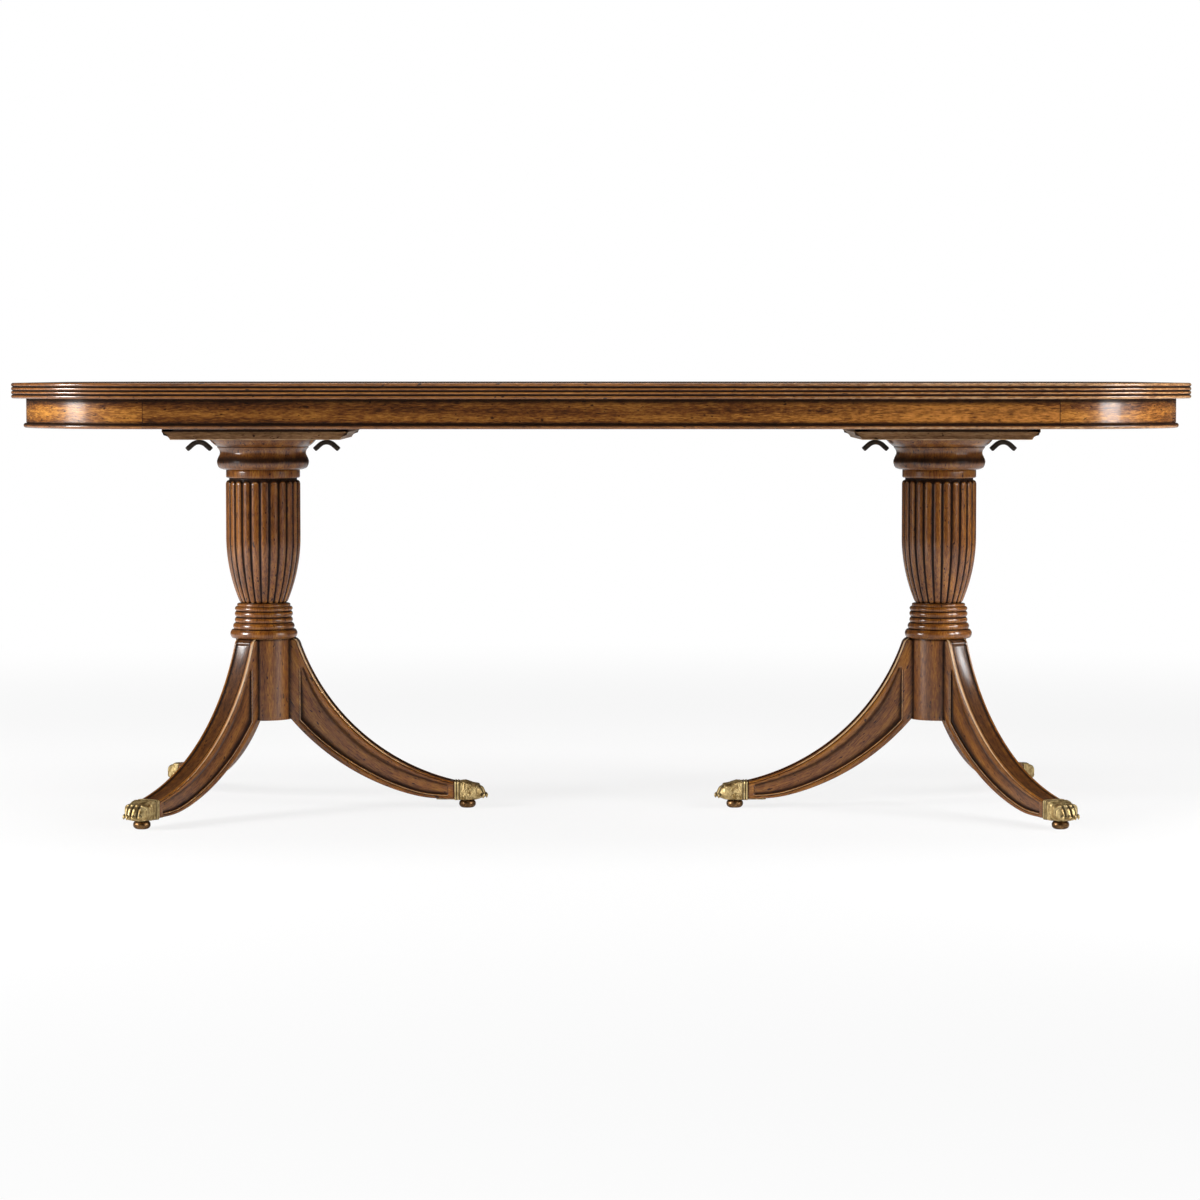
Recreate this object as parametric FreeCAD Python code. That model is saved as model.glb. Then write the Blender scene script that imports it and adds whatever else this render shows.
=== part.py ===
"""Double pedestal dining table with a reeded top, vase columns and sabre legs on paw caps.

Millimetres, +Z up. The origin is on the floor under the middle of the table, +X runs along
its length and -Y is its front. Heights of the top are stacked down from the table height,
heights of the feet are stacked up from the floor, and the reeded vase fills what is between.
"""
import FreeCAD, Part
import math
import os

from FreeCAD import Vector

# Overall sizes
TABLE_HEIGHT = 762.0
TOP_LENGTH = 2000.0
TOP_WIDTH = 1118.0
PEDESTAL_SETBACK = 396.0

SIDES = {"left": -1, "right": 1}

# Top panel and its reeded lipping
TOP_THICK = 26.0
TOP_CORNER_R = 247.0
EDGE_WIDTH = 30.0
REED_ROWS = 4
EDGE_REED_BULGE = 2.2
TONGUE_THICK = 8.0
TONGUE_LENGTH = 8.0

# Apron, bead and cross rails
OVERHANG = 25.0
RAIL_THICK = 22.0
APRON_DEPTH = 41.5
BEAD_HEIGHT = 8.0
BEAD_PROJECTION = 4.6
CROSS_RAIL_WIDTH = 60.0
CROSS_TENON_WIDTH = 40.0
CROSS_TENON_HEIGHT = 20.0
CROSS_TENON_LENGTH = 8.0
CORNER_TENON_THICK = 8.0
CORNER_TENON_HEIGHT = 24.0
CORNER_TENON_LENGTH = 12.0

# Bearer board and capital
BEARER_THICK = 24.5
BEARER_LENGTH = 326.0
BEARER_WIDTH = 300.0
BEARER_COVE_R = 11.0
CAPITAL_HEIGHT = 55.0
CAPITAL_LIP_R = 95.5
CAPITAL_LIP_HEIGHT = 1.5
CAPITAL_ARRIS_R = 82.5
CAPITAL_ARRIS_DROP = 10.5
CAPITAL_NECK_R = 76.3
CAPITAL_COVE_HEIGHT = 12.0
CAPITAL_BEAD_R = 82.0
CAPITAL_BEAD_HEIGHT = 22.0
CAPITAL_FOOT_R = 71.0

# Column
COLLAR_R = 65.7
COLLAR_HEIGHT = 15.0
COLLAR_ROUND = 3.0
QUIRK_R = 60.0
QUIRK_HEIGHT = 3.0
VASE_R = 66.3
VASE_FOOT_R = 43.0
VASE_TAPER_SHARE = 0.532
VASE_CROWN_HEIGHT = 11.0
VASE_CROWN_R = 61.5
REED_COUNT = 24
REED_DEPTH = 3.2
TAPER_SECTIONS = 6
RING_ROUND = 3.2
UPPER_RING_R = 51.8
UPPER_RING_HEIGHT = 11.3
UPPER_RING_COUNT = 3
STEP_RING_R = 54.6
STEP_RING_HEIGHT = 13.0
BASE_RING_R = 59.8
BASE_RING_HEIGHT = 15.0
NECK_HEIGHT = 3.0
TOP_TENON_R = 20.0
TOP_TENON_ENTRY = 18.0
FOOT_TENON_R = 16.0
FOOT_TENON_LENGTH = 60.0

# Drum and tie plate
DRUM_R = 50.0
DRUM_TOP_Z = 306.0
DRUM_BOTTOM_Z = 160.0
KEY_DEPTH = 18.0
KEY_NECK_WIDTH = 16.0
KEY_TAIL_WIDTH = 22.0
KEY_HEIGHT = 107.0
PLATE_R = 44.0
PLATE_THICK = 3.0
PLATE_SCREW_CIRCLE_R = 30.0

# Sabre legs
LEG_PLACES = ("inward", "back", "front")
LEG_WIDTH = 40.0
LEG_TOP_REACH = 61.2
CUFF_REACH = 341.5
CUFF_TOP_Z = 47.5
LEG_FOOT_Z = 17.0
LEG_FLAT_REACH = 300.0
UPPER_CURVE_R = 387.5
LOWER_CURVE_R = 428.5
PANEL_MARGIN = 12.5
PANEL_DEPTH = 2.5
FLUTE_WIDTH = 28.0
FLUTE_DEPTH = 2.6
FLUTE_STOP = 11.0
LEG_EDGE_ROUND = 1.5
FOOT_TENON_WIDTH = 28.0
FOOT_TENON_HEIGHT = 18.0
FOOT_TENON_DEPTH = 14.0

# Paw caps and glides
PAW_BASE_Z = 14.5
PAW_LENGTH = 59.0
PAW_WIDTH = 46.0
TOE_R = 20.5
TOE_CENTRE_Z = 22.0
TOE_PITCH = 11.0
CLEFT_R = 1.9
CUFF_LENGTH = 7.5
CUFF_GROOVE = 1.5
CUFF_LIP = 1.2
CAP_TONGUE_LENGTH = 33.5
CAP_TONGUE_WIDTH = 14.0
CAP_SCREW_SETBACK = 22.0
GLIDE_REACH = 364.0
GLIDE_R = 15.0
GLIDE_FLAT_R = 9.0
GLIDE_STEM_R = 5.0
GLIDE_STEM_LENGTH = 14.0

# Studs, washers and wing nuts
STUD_OFFSET = 114.0
STUD_R = 4.0
STUD_ENTRY = 30.0
STUD_SHORT_OF_NUT = 0.4
WASHER_R = 15.0
WASHER_THICK = 2.5
NUT_STRAP_THICK = 7.3
NUT_STRAP_WIDTH = 15.0
NUT_BEND_R = 19.0
NUT_BEND_HALF_ANGLE = 42.0
NUT_ARM_LENGTH = 12.8
NUT_BOSS_R = 8.5

# Wood screws
SCREW_R = 2.0
SCREW_HEAD_R = 4.0
SCREW_LENGTH = 14.0
TOP_SCREW_R = 2.5
TOP_SCREW_HEAD_R = 5.0
TOP_SCREW_HEAD_HEIGHT = 3.0
TOP_SCREW_BITE = 16.0
TOP_SCREW_GRIP = 28.0
TOP_SCREWS_PER_RAIL = 3

# Clearances
GLUE_GAP = 0.1
RUNNING_GAP = 0.06
STUD_HOLE_GAP = 0.5
COUNTERBORE_GAP = 0.5

# Levels and lines that follow from the sizes above
TOP_UNDER_Z = TABLE_HEIGHT - TOP_THICK
APRON_UNDER_Z = TOP_UNDER_Z - APRON_DEPTH
FRAME_UNDER_Z = APRON_UNDER_Z - BEAD_HEIGHT
BEARER_UNDER_Z = FRAME_UNDER_Z - BEARER_THICK
CAPITAL_UNDER_Z = BEARER_UNDER_Z - CAPITAL_HEIGHT
COLLAR_UNDER_Z = CAPITAL_UNDER_Z - COLLAR_HEIGHT
VASE_TOP_Z = COLLAR_UNDER_Z - QUIRK_HEIGHT
STEP_RING_Z = DRUM_TOP_Z + BASE_RING_HEIGHT
UPPER_RINGS_Z = STEP_RING_Z + STEP_RING_HEIGHT
NECK_Z = UPPER_RINGS_Z + UPPER_RING_COUNT * UPPER_RING_HEIGHT
VASE_FOOT_Z = NECK_Z + NECK_HEIGHT
VASE_TAPER_HEIGHT = (VASE_TOP_Z - VASE_FOOT_Z) * VASE_TAPER_SHARE
VASE_TURN_Z = VASE_FOOT_Z + VASE_TAPER_HEIGHT
PEDESTAL_OFFSET = TOP_LENGTH / 2 - PEDESTAL_SETBACK
CORNER_X = TOP_LENGTH / 2 - TOP_CORNER_R
CORNER_Y = TOP_WIDTH / 2 - TOP_CORNER_R
EDGE_IN_R = TOP_CORNER_R - EDGE_WIDTH
APRON_OUT_R = TOP_CORNER_R - OVERHANG
APRON_IN_R = APRON_OUT_R - RAIL_THICK
APRON_IN_Y = CORNER_Y + APRON_IN_R
TOP_MID_Z = TABLE_HEIGHT - TOP_THICK / 2
APRON_MID_Z = (TOP_UNDER_Z + APRON_UNDER_Z) / 2
FOOT_TENON_MID_Z = (CUFF_TOP_Z + LEG_FOOT_Z) / 2
WASHER_UNDER_Z = BEARER_UNDER_Z - WASHER_THICK
STUD_END_Z = WASHER_UNDER_Z - NUT_STRAP_THICK + STUD_SHORT_OF_NUT
KEY_BOTTOM_Z = DRUM_BOTTOM_Z + PLATE_THICK
TOP_SCREW_HEAD_Z = TOP_UNDER_Z - TOP_SCREW_GRIP
FULL_TURN = 360.0
QUARTER_TURN = 90.0
HALF_TURN = 180.0
LEG_STEP = FULL_TURN / len(LEG_PLACES)
LEG_ANGLES = {place: LEG_STEP * count for count, place in enumerate(LEG_PLACES)}
UP = Vector(0, 0, 1)
ALONG = Vector(1, 0, 0)
ACROSS = Vector(0, 1, 0)
CENTRE = Vector(0, 0, 0)


class Profile:
    """A closed outline of lines and arcs, drawn point by point in the XZ plane."""

    def __init__(self, x, z):
        self.start = Vector(x, 0, z)
        self.end = self.start
        self.edges = []

    def line(self, x, z):
        """Draw a straight line to a point."""
        point = Vector(x, 0, z)
        self.edges.append(Part.makeLine(self.end, point))
        self.end = point
        return self

    def arc(self, via, to):
        """Draw an arc through one point to another, each given as (x, z)."""
        middle = Vector(via[0], 0, via[1])
        point = Vector(to[0], 0, to[1])
        self.edges.append(Part.Arc(self.end, middle, point).toShape())
        self.end = point
        return self

    def face(self):
        """Close the outline and fill it."""
        closing = Part.makeLine(self.end, self.start)
        return Part.Face(Part.Wire(self.edges + [closing]))

    def turned(self):
        """Turn the outline about the Z axis."""
        return self.face().revolve(CENTRE, UP, FULL_TURN)

    def slab(self, width):
        """Give the outline a width across Y, half on each side."""
        face = self.face()
        face.translate(Vector(0, -width / 2, 0))
        return face.extrude(Vector(0, width, 0))


def box(x_span, y_span, z_span):
    """A box between two values on each axis."""
    size = [high - low for low, high in (x_span, y_span, z_span)]
    return Part.makeBox(*size, Vector(x_span[0], y_span[0], z_span[0]))


def rod(radius, z_span, x=0.0, y=0.0):
    """An upright cylinder."""
    return Part.makeCylinder(radius, z_span[1] - z_span[0], Vector(x, y, z_span[0]))


def cross_rod(radius, centre, width):
    """A cylinder lying across Y, with its axis at (x, z)."""
    base = Vector(centre[0], -width / 2, centre[1])
    return Part.makeCylinder(radius, width, base, ACROSS)


def turned_about_z(shape, degrees):
    """A copy of a shape turned about the Z axis."""
    copy = shape.copy()
    copy.rotate(CENTRE, UP, degrees)
    return copy


def moved(shape, x=0.0, y=0.0, z=0.0):
    """A copy of a shape moved by an offset."""
    copy = shape.copy()
    copy.translate(Vector(x, y, z))
    return copy


def arc_centre(high, low, radius):
    """Centre, above the chord, of the arc from a high point down to a low one."""
    run = low[0] - high[0]
    drop = low[1] - high[1]
    chord = math.hypot(run, drop)
    lift = math.sqrt(radius ** 2 - (chord / 2) ** 2)
    middle_x = (high[0] + low[0]) / 2
    middle_z = (high[1] + low[1]) / 2
    return (middle_x - drop / chord * lift, middle_z + run / chord * lift)


def straight_run(face, length_x):
    """Extrude a section along the front, where its x is the distance out from CORNER_Y."""
    section = turned_about_z(face, -QUARTER_TURN)
    section.translate(Vector(-length_x / 2, -CORNER_Y, 0))
    return section.extrude(Vector(length_x, 0, 0))


def end_run(face):
    """Carry a section round the right end: a quarter bend, a straight and a quarter bend."""
    back = Vector(CORNER_X, CORNER_Y, 0)
    front = Vector(CORNER_X, -CORNER_Y, 0)
    straight = moved(face, front.x, front.y).extrude(Vector(0, 2 * CORNER_Y, 0))
    back_bend = moved(face, back.x, back.y).revolve(back, UP, QUARTER_TURN)
    front_bend = moved(face, front.x, front.y).revolve(front, UP, -QUARTER_TURN)
    return straight.fuse([back_bend, front_bend]).removeSplitter()


def surround(name, front, right):
    """The four lengths that go round the top, from the front one and the right one."""
    return {
        f"{name}_front": front,
        f"{name}_back": turned_about_z(front, HALF_TURN),
        f"{name}_right": right,
        f"{name}_left": turned_about_z(right, HALF_TURN),
    }


def rounded_plate(corner_r, z_span):
    """A plate with the top's rounded corners, of one corner radius about CORNER_X, CORNER_Y."""
    half_x = CORNER_X + corner_r
    half_y = CORNER_Y + corner_r
    plate = box((-half_x, half_x), (-half_y, half_y), z_span)
    corners = [edge for edge in plate.Edges if abs(edge.tangentAt(edge.FirstParameter).z) > 0.5]
    return plate.makeFillet(corner_r, corners)


def cross_rail_places():
    """The x of each cross rail, over the studs of the two pedestals."""
    offsets = (-STUD_OFFSET, STUD_OFFSET)
    return [side * PEDESTAL_OFFSET + offset for side in SIDES.values() for offset in offsets]


def top_screw_places():
    """The (x, y) of each screw that holds a cross rail to the top panel."""
    spacing = 2 * APRON_IN_Y / (TOP_SCREWS_PER_RAIL + 1)
    rows = [-APRON_IN_Y + spacing * (row + 1) for row in range(TOP_SCREWS_PER_RAIL)]
    offset = CROSS_RAIL_WIDTH / 4
    return [(x + offset, y) for x in cross_rail_places() for y in rows]


def top_panel():
    """The flat board of the top, with its tongue and the screw holes underneath."""
    panel = rounded_plate(EDGE_IN_R, (TOP_UNDER_Z, TABLE_HEIGHT))
    tongue_span = (TOP_MID_Z - TONGUE_THICK / 2, TOP_MID_Z + TONGUE_THICK / 2)
    panel = panel.fuse(rounded_plate(EDGE_IN_R + TONGUE_LENGTH, tongue_span))
    hole_span = (TOP_UNDER_Z, TOP_UNDER_Z + TOP_SCREW_BITE + GLUE_GAP)
    holes = [rod(TOP_SCREW_R + GLUE_GAP, hole_span, x, y) for x, y in top_screw_places()]
    return panel.cut(holes)


def edge_lipping():
    """The reeded lipping: rows of half-round reeds outside, a groove for the tongue inside."""
    groove_half = TONGUE_THICK / 2 + GLUE_GAP
    groove_r = EDGE_IN_R + TONGUE_LENGTH + GLUE_GAP
    reed = TOP_THICK / REED_ROWS
    hollow_r = TOP_CORNER_R - EDGE_REED_BULGE
    section = Profile(EDGE_IN_R, TOP_UNDER_Z)
    section.line(EDGE_IN_R, TOP_MID_Z - groove_half).line(groove_r, TOP_MID_Z - groove_half)
    section.line(groove_r, TOP_MID_Z + groove_half).line(EDGE_IN_R, TOP_MID_Z + groove_half)
    section.line(EDGE_IN_R, TABLE_HEIGHT).line(hollow_r, TABLE_HEIGHT)
    for row in range(REED_ROWS):
        top = TABLE_HEIGHT - row * reed
        section.arc((TOP_CORNER_R, top - reed / 2), (hollow_r, top - reed))
    face = section.face()
    return surround("edge", straight_run(face, 2 * CORNER_X), end_run(face))


def apron():
    """The apron rails, tenoned into the bent ends and mortised for the cross rails."""
    section = Profile(APRON_IN_R, APRON_UNDER_Z).line(APRON_OUT_R, APRON_UNDER_Z)
    face = section.line(APRON_OUT_R, TOP_UNDER_Z).line(APRON_IN_R, TOP_UNDER_Z).face()
    middle_y = -CORNER_Y - (APRON_IN_R + APRON_OUT_R) / 2
    reach = CORNER_X + CORNER_TENON_LENGTH

    def corner_tenon(x_span, gap):
        half_thick = CORNER_TENON_THICK / 2 + gap
        half_height = CORNER_TENON_HEIGHT / 2 + gap
        y_span = (middle_y - half_thick, middle_y + half_thick)
        return box(x_span, y_span, (APRON_MID_Z - half_height, APRON_MID_Z + half_height))

    front = straight_run(face, 2 * CORNER_X).fuse(corner_tenon((-reach, reach), 0)).removeSplitter()
    front = front.cut([cross_tenon(x, GLUE_GAP) for x in cross_rail_places()])
    mortise = corner_tenon((CORNER_X, reach + GLUE_GAP), GLUE_GAP)
    right = end_run(face).cut([mortise, mortise.mirror(CENTRE, ACROSS)])
    return surround("apron", front, right)


def apron_bead():
    """The half-round bead under the apron, standing a little proud of it."""
    nose_r = BEAD_HEIGHT / 2
    nose_x = APRON_OUT_R + BEAD_PROJECTION - nose_r
    section = Profile(APRON_IN_R, FRAME_UNDER_Z).line(nose_x, FRAME_UNDER_Z)
    section.arc((nose_x + nose_r, FRAME_UNDER_Z + nose_r), (nose_x, APRON_UNDER_Z))
    face = section.line(APRON_IN_R, APRON_UNDER_Z).face()
    return surround("bead", straight_run(face, 2 * CORNER_X), end_run(face))


def cross_tenon(x, gap):
    """The pair of stub tenons on a cross rail, as one bar through both ends."""
    half_width = CROSS_TENON_WIDTH / 2 + gap
    half_height = CROSS_TENON_HEIGHT / 2 + gap
    reach = APRON_IN_Y + CROSS_TENON_LENGTH + gap
    z_span = (APRON_MID_Z - half_height, APRON_MID_Z + half_height)
    return box((x - half_width, x + half_width), (-reach, reach), z_span)


def cross_rails():
    """The four cross rails under the top, each with a stud hole and counterbored screw holes."""
    rails = {}
    names = ("left_outer", "left_inner", "right_inner", "right_outer")
    for name, x in zip(names, cross_rail_places()):
        half = CROSS_RAIL_WIDTH / 2
        rail = box((x - half, x + half), (-APRON_IN_Y, APRON_IN_Y), (FRAME_UNDER_Z, TOP_UNDER_Z))
        rail = rail.fuse(cross_tenon(x, 0)).removeSplitter()
        stud_span = (FRAME_UNDER_Z, FRAME_UNDER_Z + STUD_ENTRY + GLUE_GAP)
        holes = [rod(STUD_R + GLUE_GAP, stud_span, x)]
        for screw_x, screw_y in top_screw_places():
            if abs(screw_x - x) < half:
                bore_r = TOP_SCREW_HEAD_R + COUNTERBORE_GAP
                holes.append(rod(bore_r, (FRAME_UNDER_Z, TOP_SCREW_HEAD_Z), screw_x, screw_y))
                shank_span = (TOP_SCREW_HEAD_Z, TOP_UNDER_Z)
                holes.append(rod(TOP_SCREW_R + GLUE_GAP, shank_span, screw_x, screw_y))
        rails[f"cross_rail_{name}"] = rail.cut(holes)
    return rails


def top_screws():
    """The screws up through the cross rails into the top panel, as a group."""
    screws = []
    for x, y in top_screw_places():
        head_span = (TOP_SCREW_HEAD_Z - TOP_SCREW_HEAD_HEIGHT, TOP_SCREW_HEAD_Z)
        shank_span = (TOP_SCREW_HEAD_Z, TOP_UNDER_Z + TOP_SCREW_BITE)
        head = rod(TOP_SCREW_HEAD_R, head_span, x, y)
        screws.append(head.fuse(rod(TOP_SCREW_R, shank_span, x, y)))
    return Part.makeCompound(screws)


def hanger_studs():
    """The four studs that hang from the cross rails, as a group."""
    span = (STUD_END_Z, FRAME_UNDER_Z + STUD_ENTRY)
    return Part.makeCompound([rod(STUD_R, span, x) for x in cross_rail_places()])


def bearer_board():
    """The board at the head of a pedestal, coved under its two ends."""
    half_x = BEARER_LENGTH / 2
    half_y = BEARER_WIDTH / 2
    board = box((-half_x, half_x), (-half_y, half_y), (BEARER_UNDER_Z, FRAME_UNDER_Z))
    cuts = [cross_rod(BEARER_COVE_R, (side * half_x, BEARER_UNDER_Z), BEARER_WIDTH) for side in (-1, 1)]
    mortise_span = (BEARER_UNDER_Z, BEARER_UNDER_Z + TOP_TENON_ENTRY + GLUE_GAP)
    cuts.append(rod(TOP_TENON_R + GLUE_GAP, mortise_span))
    stud_span = (BEARER_UNDER_Z, FRAME_UNDER_Z)
    cuts += [rod(STUD_R + STUD_HOLE_GAP, stud_span, side * STUD_OFFSET) for side in (-1, 1)]
    return board.cut(cuts)


def capital():
    """The turned capital: a bead, a neck, a cove and a slanted lip under the bearer board."""
    arris_z = BEARER_UNDER_Z - CAPITAL_ARRIS_DROP
    neck_z = arris_z - CAPITAL_COVE_HEIGHT
    cove_run = CAPITAL_ARRIS_R - CAPITAL_NECK_R
    bead_top_z = CAPITAL_UNDER_Z + CAPITAL_BEAD_HEIGHT
    bead_mid_z = CAPITAL_UNDER_Z + CAPITAL_BEAD_HEIGHT / 2
    bore_r = TOP_TENON_R + GLUE_GAP
    section = Profile(bore_r, CAPITAL_UNDER_Z).line(CAPITAL_FOOT_R, CAPITAL_UNDER_Z)
    section.arc((CAPITAL_BEAD_R, bead_mid_z), (CAPITAL_NECK_R, bead_top_z)).line(CAPITAL_NECK_R, neck_z)
    cove_mid = (CAPITAL_NECK_R + cove_run / 4, neck_z + CAPITAL_COVE_HEIGHT / 2)
    section.arc(cove_mid, (CAPITAL_ARRIS_R, arris_z))
    section.line(CAPITAL_LIP_R, BEARER_UNDER_Z - CAPITAL_LIP_HEIGHT)
    section.line(CAPITAL_LIP_R, BEARER_UNDER_Z).line(bore_r, BEARER_UNDER_Z)
    return section.turned()


def vase_radius(z):
    """Crest radius of the reeded vase: a cylinder that an arc draws in towards its foot."""
    fall = max(0.0, VASE_TURN_Z - z)
    draw_in = VASE_R - VASE_FOOT_R
    curve_r = (VASE_TAPER_HEIGHT ** 2 + draw_in ** 2) / (2 * draw_in)
    return VASE_R - (curve_r - math.sqrt(curve_r ** 2 - fall ** 2))


def reed_section(radius, z):
    """A ring of convex reeds at one height, as a closed wire."""
    groove_r = radius * (1 - REED_DEPTH / VASE_R)
    step = 2 * math.pi / REED_COUNT

    def point(at_r, turns):
        return Vector(at_r * math.cos(turns * step), at_r * math.sin(turns * step), z)

    arcs = []
    for reed in range(REED_COUNT):
        start, crest, end = point(groove_r, reed), point(radius, reed + 0.5), point(groove_r, reed + 1)
        arcs.append(Part.Arc(start, crest, end).toShape())
    return Part.Wire(arcs)


def reeded_vase():
    """The reeded vase: a straight drum of reeds with rounded tops, and a drawn-in foot."""
    straight = Part.Face(reed_section(VASE_R, VASE_TURN_Z)).extrude(Vector(0, 0, VASE_TOP_Z - VASE_TURN_Z))
    shoulder_z = VASE_TOP_Z - VASE_CROWN_HEIGHT
    mid_r = (VASE_R + VASE_CROWN_R) / 2 + (VASE_R - VASE_CROWN_R) / 4
    crown = Profile(0, VASE_TURN_Z).line(VASE_R + GLUE_GAP, VASE_TURN_Z).line(VASE_R + GLUE_GAP, shoulder_z)
    crown.arc((mid_r, shoulder_z + VASE_CROWN_HEIGHT / 2), (VASE_CROWN_R, VASE_TOP_Z)).line(0, VASE_TOP_Z)
    straight = straight.common(crown.turned())
    step = VASE_TAPER_HEIGHT / TAPER_SECTIONS
    heights = [VASE_FOOT_Z + step * row for row in range(TAPER_SECTIONS + 1)]
    taper = Part.makeLoft([reed_section(vase_radius(z), z) for z in heights], True, False)
    return straight.fuse(taper)


def ring(section, radius, z):
    """Draw one half-round ring, from the end of a section up to z."""
    section.arc((radius, (section.end.z + z) / 2), (radius - RING_ROUND, z))


def column():
    """The turned column: foot tenon, five rings, reeded vase, collar and top tenon."""
    section = Profile(0, DRUM_TOP_Z - FOOT_TENON_LENGTH)
    section.line(FOOT_TENON_R, DRUM_TOP_Z - FOOT_TENON_LENGTH).line(FOOT_TENON_R, DRUM_TOP_Z)
    section.line(BASE_RING_R - RING_ROUND, DRUM_TOP_Z)
    ring(section, BASE_RING_R, STEP_RING_Z)
    section.line(STEP_RING_R - RING_ROUND, STEP_RING_Z)
    ring(section, STEP_RING_R, UPPER_RINGS_Z)
    section.line(UPPER_RING_R - RING_ROUND, UPPER_RINGS_Z)
    for row in range(UPPER_RING_COUNT):
        ring(section, UPPER_RING_R, UPPER_RINGS_Z + (row + 1) * UPPER_RING_HEIGHT)
    core_r = VASE_FOOT_R - REED_DEPTH
    section.line(core_r, NECK_Z).line(core_r, VASE_TOP_Z).line(QUIRK_R, VASE_TOP_Z)
    section.line(QUIRK_R, COLLAR_UNDER_Z).line(COLLAR_R - COLLAR_ROUND, COLLAR_UNDER_Z)
    section.line(COLLAR_R, COLLAR_UNDER_Z + COLLAR_ROUND).line(COLLAR_R, CAPITAL_UNDER_Z)
    tenon_top_z = BEARER_UNDER_Z + TOP_TENON_ENTRY
    section.line(TOP_TENON_R, CAPITAL_UNDER_Z).line(TOP_TENON_R, tenon_top_z).line(0, tenon_top_z)
    return section.turned().fuse(reeded_vase())


def dovetail_key():
    """The key on the root of a leg, wider at its tail, running up from the tie plate."""
    tail_x = DRUM_R - KEY_DEPTH
    flare = (KEY_TAIL_WIDTH - KEY_NECK_WIDTH) / 2 / KEY_DEPTH
    outer_x = LEG_TOP_REACH
    outer_half = KEY_NECK_WIDTH / 2 - flare * (outer_x - DRUM_R)
    corners = [(tail_x, -KEY_TAIL_WIDTH / 2), (outer_x, -outer_half)]
    corners += [(outer_x, outer_half), (tail_x, KEY_TAIL_WIDTH / 2)]
    points = [Vector(x, y, KEY_BOTTOM_Z) for x, y in corners]
    outline = Part.makePolygon(points + points[:1])
    return Part.Face(outline).extrude(Vector(0, 0, KEY_HEIGHT))


def plate_screw_places():
    """The (x, y) of each tie plate screw, between the legs."""
    angles = [math.radians(angle + HALF_TURN) for angle in LEG_ANGLES.values()]
    return [(PLATE_SCREW_CIRCLE_R * math.cos(a), PLATE_SCREW_CIRCLE_R * math.sin(a)) for a in angles]


def drum():
    """The drum that the legs are keyed into, with a recess for the tie plate."""
    body = rod(DRUM_R, (DRUM_BOTTOM_Z, DRUM_TOP_Z))
    cuts = [turned_about_z(dovetail_key(), angle) for angle in LEG_ANGLES.values()]
    cuts.append(rod(FOOT_TENON_R + GLUE_GAP, (DRUM_TOP_Z - FOOT_TENON_LENGTH - GLUE_GAP, DRUM_TOP_Z)))
    cuts.append(rod(PLATE_R + GLUE_GAP, (DRUM_BOTTOM_Z, KEY_BOTTOM_Z)))
    hole_span = (KEY_BOTTOM_Z, DRUM_BOTTOM_Z + SCREW_LENGTH + GLUE_GAP)
    cuts += [rod(SCREW_R + GLUE_GAP, hole_span, x, y) for x, y in plate_screw_places()]
    return body.cut(cuts)


def countersunk_screw(thickness, gap=0.0):
    """A countersunk screw with its head flush under a plate of some thickness, pointing up."""
    head = Part.makeCone(SCREW_HEAD_R + gap, SCREW_R + gap, thickness)
    shank = rod(SCREW_R + gap, (thickness, SCREW_LENGTH + gap))
    return head.fuse(shank)


def tie_plate():
    """The steel disc let into the underside of the drum, which keeps the keys from sliding out."""
    plate = rod(PLATE_R, (DRUM_BOTTOM_Z, KEY_BOTTOM_Z))
    screw = countersunk_screw(PLATE_THICK, GLUE_GAP)
    return plate.cut([moved(screw, x, y, DRUM_BOTTOM_Z) for x, y in plate_screw_places()])


def plate_screws():
    """The screws of one tie plate."""
    screw = countersunk_screw(PLATE_THICK)
    return [moved(screw, x, y, DRUM_BOTTOM_Z) for x, y in plate_screw_places()]


def leg():
    """A sabre leg pointing along +X: fluted on top, sunk panels on its sides, keyed and tenoned."""
    upper = arc_centre((LEG_TOP_REACH, DRUM_TOP_Z), (CUFF_REACH, CUFF_TOP_Z), UPPER_CURVE_R)
    lower = arc_centre((DRUM_R, DRUM_BOTTOM_Z), (LEG_FLAT_REACH, LEG_FOOT_Z), LOWER_CURVE_R)
    half = LEG_WIDTH / 2
    body = box((0, CUFF_REACH), (-half, half), (LEG_FOOT_Z, DRUM_TOP_Z))
    body = body.common(cross_rod(LOWER_CURVE_R, lower, LEG_WIDTH))
    body = body.cut(cross_rod(UPPER_CURVE_R, upper, LEG_WIDTH))
    body = body.cut(rod(DRUM_R, (0, DRUM_TOP_Z)))
    swept = (UPPER_CURVE_R, LOWER_CURVE_R)
    arrises = [edge for edge in body.Edges if getattr(edge.Curve, "Radius", 0) in swept]
    body = body.makeFillet(LEG_EDGE_ROUND, arrises)
    panel_x = (DRUM_R + PANEL_MARGIN, CUFF_REACH - PANEL_MARGIN)
    panel_z = (LEG_FOOT_Z + PANEL_MARGIN, DRUM_TOP_Z - PANEL_MARGIN)
    for side in (-1, 1):
        wall = sorted((side * half, side * (half - PANEL_DEPTH)))
        panel = box(panel_x, wall, panel_z).common(cross_rod(LOWER_CURVE_R - PANEL_MARGIN, lower, LEG_WIDTH))
        body = body.cut(panel.cut(cross_rod(UPPER_CURVE_R + PANEL_MARGIN, upper, LEG_WIDTH)))
    flute_r = ((FLUTE_WIDTH / 2) ** 2 + FLUTE_DEPTH ** 2) / (2 * FLUTE_DEPTH)
    centre = Vector(upper[0], 0, upper[1])
    flute = Part.makeTorus(UPPER_CURVE_R + FLUTE_DEPTH - flute_r, flute_r, centre, ACROSS)
    flute_room = box((0, CUFF_REACH - FLUTE_STOP), (-half, half), (0, DRUM_TOP_Z))
    body = body.cut(flute.common(flute_room))
    body = body.fuse([dovetail_key(), foot_tenon(0)]).removeSplitter()
    return body.cut(cap_screw(GLUE_GAP))


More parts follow.
